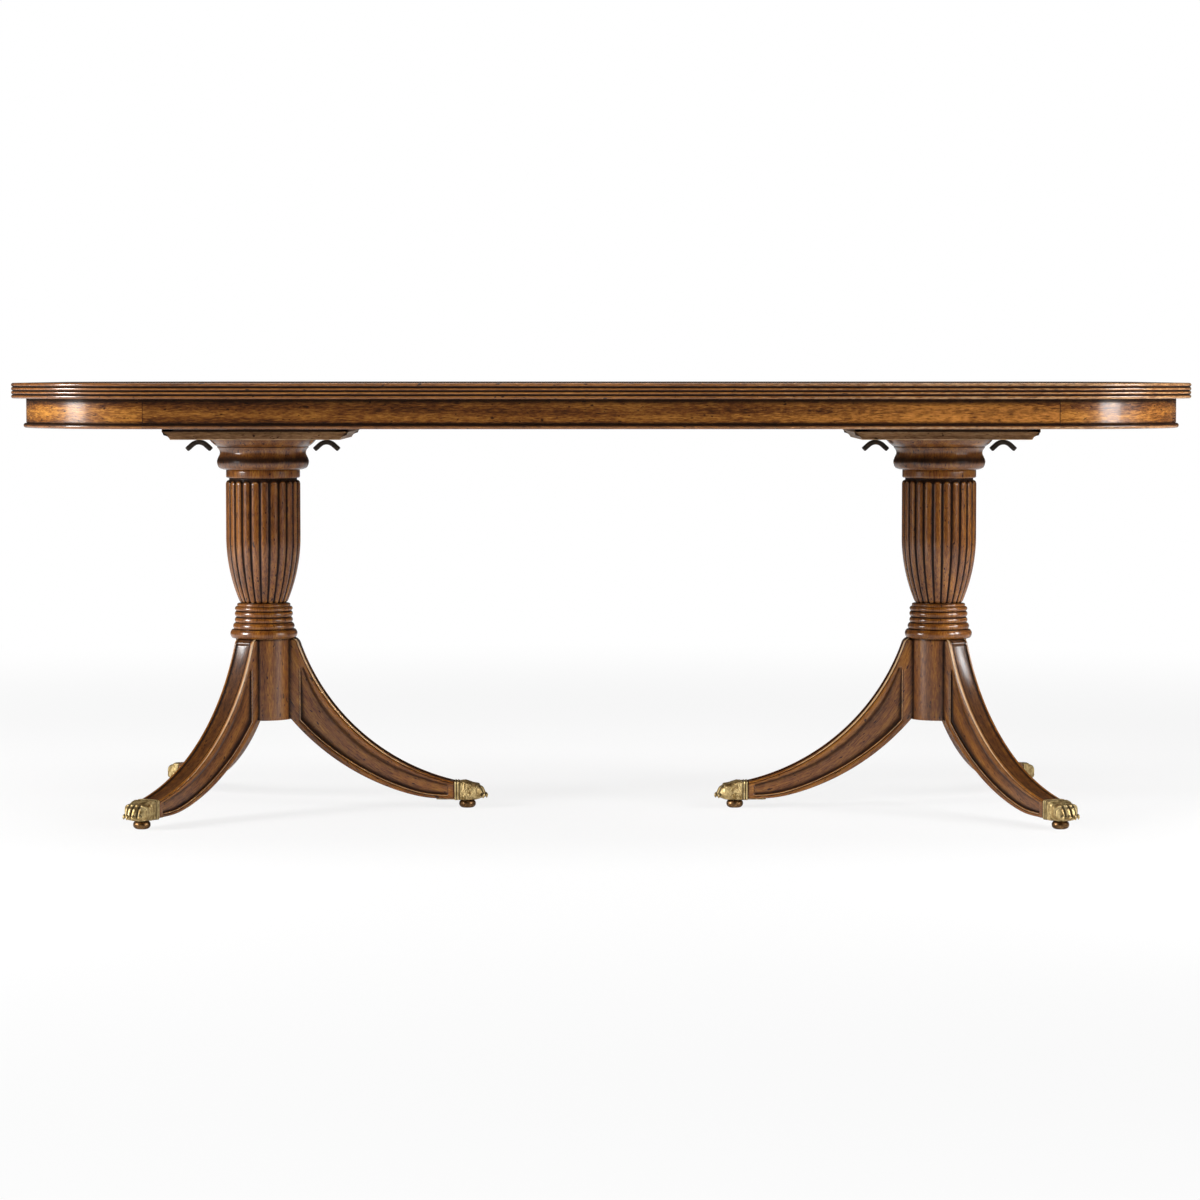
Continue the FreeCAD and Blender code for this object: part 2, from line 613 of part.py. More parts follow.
def foot_tenon(gap):
    """The tenon on the foot of a leg that fills the socket of its paw cap."""
    half_width = FOOT_TENON_WIDTH / 2 + gap
    half_height = FOOT_TENON_HEIGHT / 2 + gap
    z_span = (FOOT_TENON_MID_Z - half_height, FOOT_TENON_MID_Z + half_height)
    return box((CUFF_REACH, CUFF_REACH + FOOT_TENON_DEPTH + gap), (-half_width, half_width), z_span)


def cap_screw(gap=0.0):
    """The screw up through the tongue of a paw cap into the leg."""
    screw = countersunk_screw(LEG_FOOT_Z - PAW_BASE_Z, gap)
    return moved(screw, CUFF_REACH - CAP_SCREW_SETBACK, 0, PAW_BASE_Z)


def paw_cap():
    """A cast paw cap: a cuff of two bands, a knuckled paw with four toes, and a tongue behind."""
    tip_x = CUFF_REACH + PAW_LENGTH
    toe_x = tip_x - TOE_R
    base_drop = TOE_CENTRE_Z - PAW_BASE_Z
    base_x = toe_x + math.sqrt(TOE_R ** 2 - base_drop ** 2)
    diagonal = TOE_R * math.sqrt(0.5)
    side = Profile(CUFF_REACH, PAW_BASE_Z).line(CUFF_REACH, CUFF_TOP_Z)
    hump_x = (CUFF_REACH + toe_x) / 2
    hump_z = CUFF_TOP_Z + CUFF_LIP
    side.arc((hump_x, hump_z), (toe_x, TOE_CENTRE_Z + TOE_R))
    side.arc((toe_x + diagonal, TOE_CENTRE_Z + diagonal), (base_x, PAW_BASE_Z))
    body = side.slab(PAW_WIDTH)
    half_cuff = LEG_WIDTH / 2
    half_paw = PAW_WIDTH / 2
    plan = Profile(CUFF_REACH, -half_cuff).arc((hump_x, -half_paw + CUFF_LIP / 2), (toe_x, -half_paw))
    plan.arc((tip_x, 0), (toe_x, half_paw)).arc((hump_x, half_paw - CUFF_LIP / 2), (CUFF_REACH, half_cuff))
    outline = plan.face()
    outline.rotate(CENTRE, ALONG, QUARTER_TURN)
    body = body.common(outline.extrude(Vector(0, 0, hump_z + CUFF_LIP)))
    for cleft in (-1, 0, 1):
        centre = Vector(toe_x, cleft * TOE_PITCH, TOE_CENTRE_Z)
        body = body.cut(Part.makeTorus(TOE_R, CLEFT_R, centre, ACROSS))
    half_band = half_cuff + CUFF_LIP
    band_length = (CUFF_LENGTH - CUFF_GROOVE) / 2
    bands = []
    for start in (CUFF_REACH, CUFF_REACH + CUFF_LENGTH - band_length):
        z_span = (PAW_BASE_Z, CUFF_TOP_Z + CUFF_LIP)
        bands.append(box((start, start + band_length), (-half_band, half_band), z_span))
    half_tongue = CAP_TONGUE_WIDTH / 2
    tongue_x = (CUFF_REACH - CAP_TONGUE_LENGTH, CUFF_REACH)
    tongue = box(tongue_x, (-half_tongue, half_tongue), (PAW_BASE_Z, LEG_FOOT_Z))
    body = body.fuse(bands + [tongue]).removeSplitter()
    stem_span = (PAW_BASE_Z, PAW_BASE_Z + GLIDE_STEM_LENGTH + GLUE_GAP)
    stem_hole = rod(GLIDE_STEM_R + GLUE_GAP, stem_span, GLIDE_REACH)
    return body.cut([foot_tenon(GLUE_GAP), stem_hole, cap_screw(GLUE_GAP)])


def glide():
    """A bun glide under a paw, with a stem up into the casting."""
    section = Profile(0, 0).line(GLIDE_FLAT_R, 0)
    section.arc((GLIDE_R, PAW_BASE_Z / 2), (GLIDE_FLAT_R, PAW_BASE_Z)).line(GLIDE_STEM_R, PAW_BASE_Z)
    stem_top_z = PAW_BASE_Z + GLIDE_STEM_LENGTH
    bun = section.line(GLIDE_STEM_R, stem_top_z).line(0, stem_top_z).turned()
    return moved(bun, GLIDE_REACH)


def washer():
    """A washer under the bearer board, on the stud's axis."""
    span = (WASHER_UNDER_Z, BEARER_UNDER_Z)
    return rod(WASHER_R, span).cut(rod(STUD_R + STUD_HOLE_GAP, span))


def wing_nut():
    """A wing nut bent from flat bar: an arched middle, two straight arms and a flat-topped boss."""
    centre_z = WASHER_UNDER_Z - NUT_STRAP_THICK / 2 - NUT_BEND_R
    outer_r = NUT_BEND_R + NUT_STRAP_THICK / 2
    inner_r = NUT_BEND_R - NUT_STRAP_THICK / 2
    lean = math.radians(NUT_BEND_HALF_ANGLE)

    def bend_point(radius, side):
        return (side * radius * math.sin(lean), centre_z + radius * math.cos(lean))

    def tip_point(radius, side):
        x, z = bend_point(radius, side)
        return (x + side * NUT_ARM_LENGTH * math.cos(lean), z - NUT_ARM_LENGTH * math.sin(lean))

    strap = Profile(*tip_point(outer_r, -1)).line(*bend_point(outer_r, -1))
    strap.arc((0, centre_z + outer_r), bend_point(outer_r, 1)).line(*tip_point(outer_r, 1))
    strap.line(*tip_point(inner_r, 1)).line(*bend_point(inner_r, 1))
    strap.arc((0, centre_z + inner_r), bend_point(inner_r, -1)).line(*tip_point(inner_r, -1))
    span = (WASHER_UNDER_Z - NUT_STRAP_THICK, WASHER_UNDER_Z)
    body = strap.slab(NUT_STRAP_WIDTH).fuse(rod(NUT_BOSS_R, span)).removeSplitter()
    return body.cut(rod(STUD_R + RUNNING_GAP, span))


def pedestal_nodes():
    """One pedestal about its own axis, its inward leg along +X, as named shapes."""
    nodes = {"bearer_board": bearer_board(), "capital": capital(), "column": column()}
    nodes.update({"drum": drum(), "tie_plate": tie_plate()})
    per_leg = {"leg": leg(), "paw": paw_cap(), "glide": glide()}
    for place, angle in LEG_ANGLES.items():
        for piece, shape in per_leg.items():
            nodes[f"{piece}_{place}"] = turned_about_z(shape, angle)
    for place, x in (("inner", STUD_OFFSET), ("outer", -STUD_OFFSET)):
        nodes[f"washer_{place}"] = moved(washer(), x)
        nodes[f"wing_nut_{place}"] = moved(wing_nut(), x)
    return nodes


def placed(shape, side):
    """A pedestal piece moved to the left (-1) or, mirrored, to the right (1)."""
    if side > 0:
        shape = shape.mirror(CENTRE, ALONG)
    return moved(shape, side * PEDESTAL_OFFSET)


def table_nodes():
    """Every node of the table, by name."""
    nodes = {"top_panel": top_panel(), "top_screws": top_screws(), "hanger_studs": hanger_studs()}
    for group in (edge_lipping(), apron(), apron_bead(), cross_rails()):
        nodes.update(group)
    pedestal = pedestal_nodes()
    for name, side in SIDES.items():
        nodes.update({f"{name}_{piece}": placed(shape, side) for piece, shape in pedestal.items()})
    leg_screws = [turned_about_z(cap_screw(), angle) for angle in LEG_ANGLES.values()]
    for group, screws in (("cap_screws", leg_screws), ("plate_screws", plate_screws())):
        both = [placed(screw, side) for side in SIDES.values() for screw in screws]
        nodes[group] = Part.makeCompound(both)
    return nodes


def main():
    """Write each node to its own file."""
    os.makedirs("parts", exist_ok=True)
    nodes = table_nodes()
    for name, shape in nodes.items():
        shape.exportStep(f"parts/{name}.step")
        print(name, len(shape.Solids), shape.isValid(), round(shape.Volume))
    print(len(nodes), "nodes")


main()
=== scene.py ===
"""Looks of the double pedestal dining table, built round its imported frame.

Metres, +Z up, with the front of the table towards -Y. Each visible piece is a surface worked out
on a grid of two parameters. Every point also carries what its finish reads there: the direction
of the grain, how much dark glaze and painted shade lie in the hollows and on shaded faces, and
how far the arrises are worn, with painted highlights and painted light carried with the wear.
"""

import logging
import math
from dataclasses import dataclass, field
from enum import Enum, IntEnum

import bpy
import numpy as np
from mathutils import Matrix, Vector


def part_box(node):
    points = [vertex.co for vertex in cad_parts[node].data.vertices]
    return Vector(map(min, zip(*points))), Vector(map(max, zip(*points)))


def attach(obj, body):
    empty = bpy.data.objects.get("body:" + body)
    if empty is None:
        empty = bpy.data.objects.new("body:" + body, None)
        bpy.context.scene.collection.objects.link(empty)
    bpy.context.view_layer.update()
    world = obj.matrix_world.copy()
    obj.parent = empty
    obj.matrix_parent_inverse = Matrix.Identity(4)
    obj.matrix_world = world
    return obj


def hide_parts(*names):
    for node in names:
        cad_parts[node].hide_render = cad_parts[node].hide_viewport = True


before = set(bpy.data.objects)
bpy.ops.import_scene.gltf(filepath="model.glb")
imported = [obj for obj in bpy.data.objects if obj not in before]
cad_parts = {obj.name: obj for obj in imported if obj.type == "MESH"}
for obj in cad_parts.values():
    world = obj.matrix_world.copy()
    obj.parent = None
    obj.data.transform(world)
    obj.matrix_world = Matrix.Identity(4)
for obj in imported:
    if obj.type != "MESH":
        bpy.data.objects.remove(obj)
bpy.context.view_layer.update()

LOG = logging.getLogger("dining_table")
TABLE_BODY = "table"
MM = 0.001
FULL_TURN = 2 * math.pi
# Least turn of a corner and the turn of a full crease, in radians.
SHARP_TURN = 0.35
FULL_CREASE = 0.9
# Slopes, distances and lengths that count as none.
TINY = 1e-6
SAME_POINT = 1e-7
NO_LENGTH = 1e-12
LEG_ANGLES = {"inward": 0.0, "back": 120.0, "front": 240.0}
Colour = tuple[float, float, float, float]


class Slot(Enum):
    """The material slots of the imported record."""

    WALNUT = "walnut"
    FRAME_WOOD = "frame_wood"
    PAW_BRASS = "paw_brass"
    GLIDE_BRONZE = "glide_bronze"
    BLACK_IRON = "black_iron"
    STEEL = "steel"


class Place(Enum):
    """The four lengths of what goes round the top."""

    FRONT = "front"
    RIGHT = "right"
    BACK = "back"
    LEFT = "left"


class Moulding(Enum):
    """What goes round the top, by the first word of its nodes' names."""

    EDGE = "edge"
    APRON = "apron"
    BEAD = "bead"


class Stretch(IntEnum):
    """The stretches of a leg's side, numbered from its top down to its sole."""

    BEAD = 0
    QUIRK = 1
    BORDER = 2
    COVE = 3
    PANEL = 4
    WALL = 5
    FILLET = 6
    GROOVE = 7
    LOWER_BORDER = 8
    SOLE = 9


class GrainSource(Enum):
    """Where a wood finish takes the direction of its grain from."""

    CARRIED = "the grain attribute of a modelled piece"
    ALONG_Y = "object coordinates, with the grain along Y"


def srgb(red: int, green: int, blue: int) -> Colour:
    """Turn a screen colour into a linear one.

    Args:
        red, green, blue: Screen values from 0 to 255.

    Returns:
        The linear colour with an alpha of 1.
    """
    share = np.array([red, green, blue]) / 255
    low = share / 12.92
    high = ((share + 0.055) / 1.055) ** 2.4
    return (*np.where(share <= 0.04045, low, high).tolist(), 1.0)


def smooth(low: float, high: float, value: np.ndarray) -> np.ndarray:
    """Smoothstep: 0 below low, 1 above high, and 3t squared less 2t cubed between them."""
    share = np.clip((value - low) / (high - low), 0, 1)
    return share * share * (3 - 2 * share)


def bump(centre: float, width: float, value: np.ndarray) -> np.ndarray:
    """A bell curve of height 1 about a centre."""
    return np.exp(-(((value - centre) / width) ** 2))


class Outline:
    """A line drawn in a plane from straight and round stretches, with the solid on its left."""

    def __init__(self, across: float, up: float) -> None:
        """Put the pen down."""
        self.runs = [np.array([[across, up]])]

    def line(self, across: float, up: float, steps: int = 1) -> "Outline":
        """Draw a straight stretch to a point.

        Args:
            across, up: The end of the stretch.
            steps: Number of equal parts.

        Returns:
            The outline, to draw on from.
        """
        pen = self.runs[-1][-1]
        share = np.linspace(0, 1, steps + 1)[1:, None]
        self.runs.append(pen + share * (np.array([across, up]) - pen))
        return self

    def bow(self, across: float, up: float, rise: float, steps: int = 8) -> "Outline":
        """Draw an arc to a point.

        With half the chord c and the rise h, the half angle is twice the arctangent of h over c,
        and the points go round at equal angles. A positive rise stands out to the right.

        Args:
            across, up: The end of the arc.
            rise: Height of the arc over its chord.
            steps: Number of equal parts.

        Returns:
            The outline, to draw on from.
        """
        pen = self.runs[-1][-1]
        end = np.array([across, up])
        half = np.linalg.norm(end - pen) / 2
        along = (end - pen) / (2 * half)
        out = np.array([along[1], -along[0]]) * math.copysign(1, rise)
        half_angle = 2 * math.atan(abs(rise) / half)
        radius = half / math.sin(half_angle)
        angle = np.linspace(-half_angle, half_angle, steps + 1)[1:, None]
        lift = radius * (np.cos(angle) - math.cos(half_angle))
        self.runs.append((pen + end) / 2 + radius * np.sin(angle) * along + lift * out)
        return self

    def curve(self, knots: list[tuple[float, float]], steps: int = 6) -> "Outline":
        """Draw a smooth curve through points.

        Between the knots B and C, with A before and D after them, the point at t is half of
        2B + (C-A)t + (2A-5B+4C-D)tt + (3B-A-3C+D)ttt.

        Args:
            knots: The points that the curve goes through.
            steps: Number of parts from knot to knot.

        Returns:
            The outline, to draw on from.
        """
        line = np.concatenate([self.runs[-1][-1:], np.array(knots)])
        ends = np.concatenate([2 * line[:1] - line[1:2], line, 2 * line[-1:] - line[-2:-1]])
        a, b, c, d = (ends[first:first + len(line) - 1, None] for first in range(4))
        t = np.linspace(0, 1, steps + 1)[1:, None]
        squared = (2 * a - 5 * b + 4 * c - d) * t**2
        cubed = (3 * b - a - 3 * c + d) * t**3
        self.runs.append((2 * b + (c - a) * t + squared + cubed).reshape(-1, 2) / 2)
        return self

    def points(self, rounding: float = 0.0, closed: bool = False, steps: int = 3) -> np.ndarray:
        """Return the points, with every sharp corner rounded.

        A corner P between the points A and B, which lie up to the rounding away from it on its two
        sides, and not more than most of the way to their middles, becomes the curve
        (1-t)(1-t)A + 2t(1-t)P + ttB. Points that coincide are left out.

        Args:
            rounding: How far from a corner its curve starts.
            closed: Whether the line returns to its start.
            steps: Number of parts of each curve.

        Returns:
            An array of points by two.
        """
        line = np.concatenate(self.runs)
        line = line[np.linalg.norm(np.diff(line, axis=0, prepend=line[:1] - 1), axis=1) > SAME_POINT]
        if rounding <= 0:
            return line
        before = line - np.roll(line, 1, 0)
        after = np.roll(line, -1, 0) - line
        turn = np.abs(turning(line, closed))
        share = np.linspace(0, 1, steps + 1)[:, None]
        most = 0.45
        kept = []
        for point, back, on, angle in zip(line, before, after, turn):
            if angle < SHARP_TURN:
                kept.append(point[None])
                continue
            start = point - back * min(most, rounding / np.linalg.norm(back))
            end = point + on * min(most, rounding / np.linalg.norm(on))
            kept.append((1 - share) ** 2 * start + 2 * share * (1 - share) * point + share**2 * end)
        return np.concatenate(kept)


def turning(line: np.ndarray, closed: bool) -> np.ndarray:
    """Signed angle that a line turns through at each point, positive to the left.

    Args:
        line: Points by two.
        closed: Whether the line returns to its start.

    Returns:
        One angle per point, 0 at the ends of an open line.
    """
    before = line - np.roll(line, 1, 0)
    after = np.roll(line, -1, 0) - line
    cross = before[:, 0] * after[:, 1] - before[:, 1] * after[:, 0]
    angle = np.arctan2(cross, (before * after).sum(1))
    if not closed:
        angle[[0, -1]] = 0
    return angle


def creases(line: np.ndarray, closed: bool, spread: float = 0.9 * MM) -> tuple[np.ndarray, np.ndarray]:
    """Work out where glaze and painted shade gather, and where arrises wear, along an outline.

    The turning angles are summed with bell weights of the distance along the line. A sum that is
    negative is a hollow, which gets glaze and painted shade, and one above a sharp turn is an arris.

    Args:
        line: Points by two, with the solid on the left.
        closed: Whether the line returns to its start.
        spread: Width of the bell.

    Returns:
        Glaze with painted shade, and wear, each from 0 to 1 per point.
    """
    steps = np.linalg.norm(np.roll(line, -1, 0) - line, axis=1)
    place = np.concatenate([[0], np.cumsum(steps)])
    gap = np.abs(place[:-1, None] - place[None, :-1])
    if closed:
        gap = np.minimum(gap, place[-1] - gap)
    near = np.exp(-((gap / spread) ** 2)) @ turning(line, closed)
    return np.clip(-near / FULL_CREASE, 0, 1), np.clip((near - SHARP_TURN) / FULL_CREASE, 0, 1)


def outward(line: np.ndarray, closed: bool) -> np.ndarray:
    """Unit normals of an outline, to the right of its direction.

    Args:
        line: Points by two, with the solid on the left.
        closed: Whether the line returns to its start.

    Returns:
        Points by two: across the chord from the point before to the point after.
    """
    ahead, behind = np.roll(line, -1, 0), np.roll(line, 1, 0)
    if not closed:
        ahead[-1], behind[0] = line[-1], line[0]
    along = ahead - behind
    along = along / np.linalg.norm(along, axis=1, keepdims=True)
    return np.stack([along[:, 1], -along[:, 0]], 1)


@dataclass
class Skin:
    """A grid of points, whose columns close on themselves, with what the finish reads at each.

    Attributes:
        points: Rows by columns by three.
        grain: Rows by columns by three: along the grain, then across it twice.
        glaze: Glaze and painted shade, rows by columns, from 0 to 1.
        wear: Wear, painted highlights and painted light, rows by columns, from 0 to 1.
        looped: Whether the last row joins the first, instead of both ends being capped.
    """

    points: np.ndarray
    grain: np.ndarray
    glaze: np.ndarray
    wear: np.ndarray
    looped: bool = False

    def faces(self) -> list[list[int]]:
        """List the faces, turned to point outwards.

        Each grid cell is a face of four corners, and the first and last rows are closed with one
        face each. If the volume within comes out negative, every face is turned round.

        Returns:
            Corner numbers of each face.
        """
        rows, columns = self.points.shape[:2]
        index = np.arange(rows * columns).reshape(rows, columns)
        below = index if self.looped else index[:-1]
        above = np.roll(index, -1, 0) if self.looped else index[1:]
        corners = [below, np.roll(below, -1, 1), np.roll(above, -1, 1), above]
        quads = np.stack(corners, -1).reshape(-1, 4)
        caps = [] if self.looped else [index[0, ::-1], index[-1]]
        flat = self.points.reshape(-1, 3)
        flat = flat - flat.mean(0)
        halves = [quads[:, [0, 1, 2]], quads[:, [0, 2, 3]]]
        for cap in caps:
            fan = np.stack([np.full(columns - 2, cap[0]), cap[1:-1], cap[2:]], 1)
            halves.append(fan)
        triangles = flat[np.concatenate(halves)]
        volume = np.einsum("ij,ij->", triangles[:, 0], np.cross(triangles[:, 1], triangles[:, 2]))
        faces = quads.tolist() + [cap.tolist() for cap in caps]
        return faces if volume > 0 else [face[::-1] for face in faces]


def plain(points: np.ndarray, looped: bool = False) -> Skin:
    """A skin with no glaze, painted shade, wear or painted highlight, whose grain follows its points."""
    none = np.zeros(points.shape[:2])
    return Skin(points, points, none, none, looped)


def turned(line: np.ndarray, columns: int, looped: bool = False) -> Skin:
    """Turn an outline about the Z axis, with its grain along the axis.

    A point (r, z) goes to (r cos a, r sin a, z) at each angle a.

    Args:
        line: Radius and height of each point, going up with the axis on the left.
        columns: Number of steps round.
        looped: Whether the outline is closed.

    Returns:
        The skin, with glaze and painted shade in the hollows and wear on the arrises.
    """
    angle = np.arange(columns) * FULL_TURN / columns
    radius = line[:, 0, None]
    height = np.broadcast_to(line[:, 1, None], (len(line), columns))
    points = np.stack([radius * np.cos(angle), radius * np.sin(angle), height], -1)
    glaze, wear = creases(line, looped)
    grain = points[..., [2, 0, 1]]
    shape = points.shape[:2]
    spread_out = (np.broadcast_to(glaze[:, None], shape), np.broadcast_to(wear[:, None], shape))
    return Skin(points, grain, *spread_out, looped)


def extruded(line: np.ndarray, low: float, high: float, rounding: float, steps: int = 4) -> Skin:
    """Carry a closed outline straight from one level to another, with rounded end arrises.

    Near an end, at the angle a, the outline is drawn in by the rounding times (1 - sin a) and lies
    the rounding times (1 - cos a) inside that end.

    Args:
        line: Points by two, with the solid on the left.
        low, high: The two levels.
        rounding: Radius of the end arrises.
        steps: Parts of each rounding.

    Returns:
        The skin, whose points hold the outline's two values and then the level.
    """
    angle = np.linspace(0, math.pi / 2, steps + 1)
    inset = rounding * (1 - np.sin(angle))
    rise = rounding * (1 - np.cos(angle))
    inset = np.concatenate([inset, inset[::-1]])
    level = np.concatenate([low + rise, (high - rise)[::-1]])
    drawn = line[None] - inset[:, None, None] * outward(line, True)[None]
    height = np.broadcast_to(level[:, None, None], (*drawn.shape[:2], 1))
    points = np.concatenate([drawn, height], -1)
    glaze, wear = creases(line, True)
    at_end = 0.8 * bump(0.4, 0.6, inset / rounding)
    worn_and_lit = np.maximum(np.broadcast_to(wear, points.shape[:2]), at_end[:, None])
    return Skin(points, points, np.broadcast_to(glaze, points.shape[:2]), worn_and_lit)


class Wire:
    """A shader output that takes part in Python arithmetic."""

    def __init__(self, shader: "Shader", socket: bpy.types.NodeSocket) -> None:
        """Wrap one output socket of a shader."""
        self.shader = shader
        self.socket = socket

    def __add__(self, other: "Wire | float") -> "Wire":
        """Add."""
        return self.shader.maths("ADD", self, other)

    def __sub__(self, other: "Wire | float") -> "Wire":
        """Subtract."""
        return self.shader.maths("SUBTRACT", self, other)

    def __rsub__(self, other: float) -> "Wire":
        """Subtract from a number."""
        return self.shader.maths("SUBTRACT", other, self)

    def __mul__(self, other: "Wire | float") -> "Wire":
        """Multiply."""
        return self.shader.maths("MULTIPLY", self, other)

    __radd__ = __add__
    __rmul__ = __mul__


class Shader:
    """The node tree of one material or of the world."""

    def __init__(self, owner: bpy.types.Material | bpy.types.World) -> None:
        """Start an empty tree on its owner.

        Args:
            owner: The material or the world.
        """
        owner.use_nodes = True
        self.owner = owner
        self.tree = owner.node_tree
        self.tree.nodes.clear()

    def node(self, kind: str, settings: dict | None = None, inputs: dict | None = None,
             output: str | int = 0) -> Wire:
        """Make a node.

        Args:
            kind: The node's type.
            settings: Its settings, which are set first; "stops" are a ramp's positions and colours.
            inputs: The values or wires of its sockets, by name or number.
            output: The output to return.

        Returns:
            The wire of that output.
        """
        made = self.tree.nodes.new(kind)
        for key, value in (settings or {}).items():
            if key == "stops":
                while len(made.color_ramp.elements) < len(value):
                    made.color_ramp.elements.new(1.0)
                for stop, (place, colour) in zip(made.color_ramp.elements, value):
                    stop.position = place
                    stop.color = colour
            else:
                setattr(made, key, value)
        for key, value in (inputs or {}).items():
            if isinstance(value, Wire):
                self.tree.links.new(value.socket, made.inputs[key])
            else:
                made.inputs[key].default_value = value
        return Wire(self, made.outputs[output] if len(made.outputs) else None)

    def maths(self, operation: str, first: Wire | float, second: Wire | float) -> Wire:
        """Join two values with a Math node."""
        return self.node("ShaderNodeMath", {"operation": operation}, {0: first, 1: second})

    def fade(self, value: Wire, low: float, high: float) -> Wire:
        """Smoothstep of a value, from 0 at low to 1 at high."""
        limits = {"Value": value, "From Min": low, "From Max": high}
        return self.node("ShaderNodeMapRange", {"interpolation_type": "SMOOTHSTEP"}, limits)

    def stretch(self, vector: Wire, scale: tuple[float, float, float]) -> Wire:
        """Scale a vector by one number per axis."""
        return self.node("ShaderNodeVectorMath", {"operation": "MULTIPLY"}, {0: vector, 1: scale})

    def noise(self, vector: Wire, scale: float, detail: float = 2.0, roughness: float = 0.5,
              distortion: float = 0.0) -> Wire:
        """Wire noise over a vector.

        Args:
            vector: The coordinates.
            scale: Waves per metre.
            detail, roughness, distortion: As the node names them.

        Returns:
            Values from 0 to 1.
        """
        inputs = {"Vector": vector, "Scale": scale, "Detail": detail}
        inputs.update({"Roughness": roughness, "Distortion": distortion})
        return self.node("ShaderNodeTexNoise", None, inputs)

    def mix(self, share: Wire | float, first: Wire | Colour, second: Wire | Colour) -> Wire:
        """Mix two colours."""
        return self.node("ShaderNodeMix", {"data_type": "RGBA"}, {0: share, 6: first, 7: second}, 2)

    def attribute(self, name: str, output: str = "Fac") -> Wire:
        """Read a point attribute of the piece."""
        return self.node("ShaderNodeAttribute", {"attribute_name": name}, None, output)

    def surface(self, shader: Wire) -> None:
        """Connect the finished surface to the material's output."""
        self.node("ShaderNodeOutputMaterial", None, {"Surface": shader})


@dataclass(frozen=True)
class GrainLayer:
    """One layer of noise in timber, drawn out along the grain.

    Attributes:
        drawn: Waves along the grain, as a share of the waves across it.
        waves: Waves per metre across the grain.
        detail, roughness, distortion: Settings of the noise.
        weight: Share of the layer in the tone of the timber.
    """

    drawn: float
    waves: float
    detail: float = 2.0
    roughness: float = 0.5
    distortion: float = 0.0
    weight: float = 0.0

    def wire(self, shader: Shader, grain: Wire) -> Wire:
        """Wire the layer to the grain's coordinates."""
        drawn_out = shader.stretch(grain, (self.drawn, 1, 1))
        return shader.noise(drawn_out, self.waves, self.detail, self.roughness, self.distortion)


FIGURE = GrainLayer(0.35, 30, 3, 0.55, 0.6, weight=0.15)
STREAKS = GrainLayer(0.06, 85, 3, 0.6, 0.8, weight=0.14)
FIBRES = GrainLayer(0.15, 450, 4, 0.7, weight=0.48)
CLOUDS = GrainLayer(0.4, 7, weight=0.15)
PORES = GrainLayer(0.11, 800, 1)
FLECKS = GrainLayer(0.45, 190, 1)
RING_WEIGHT = 0.08


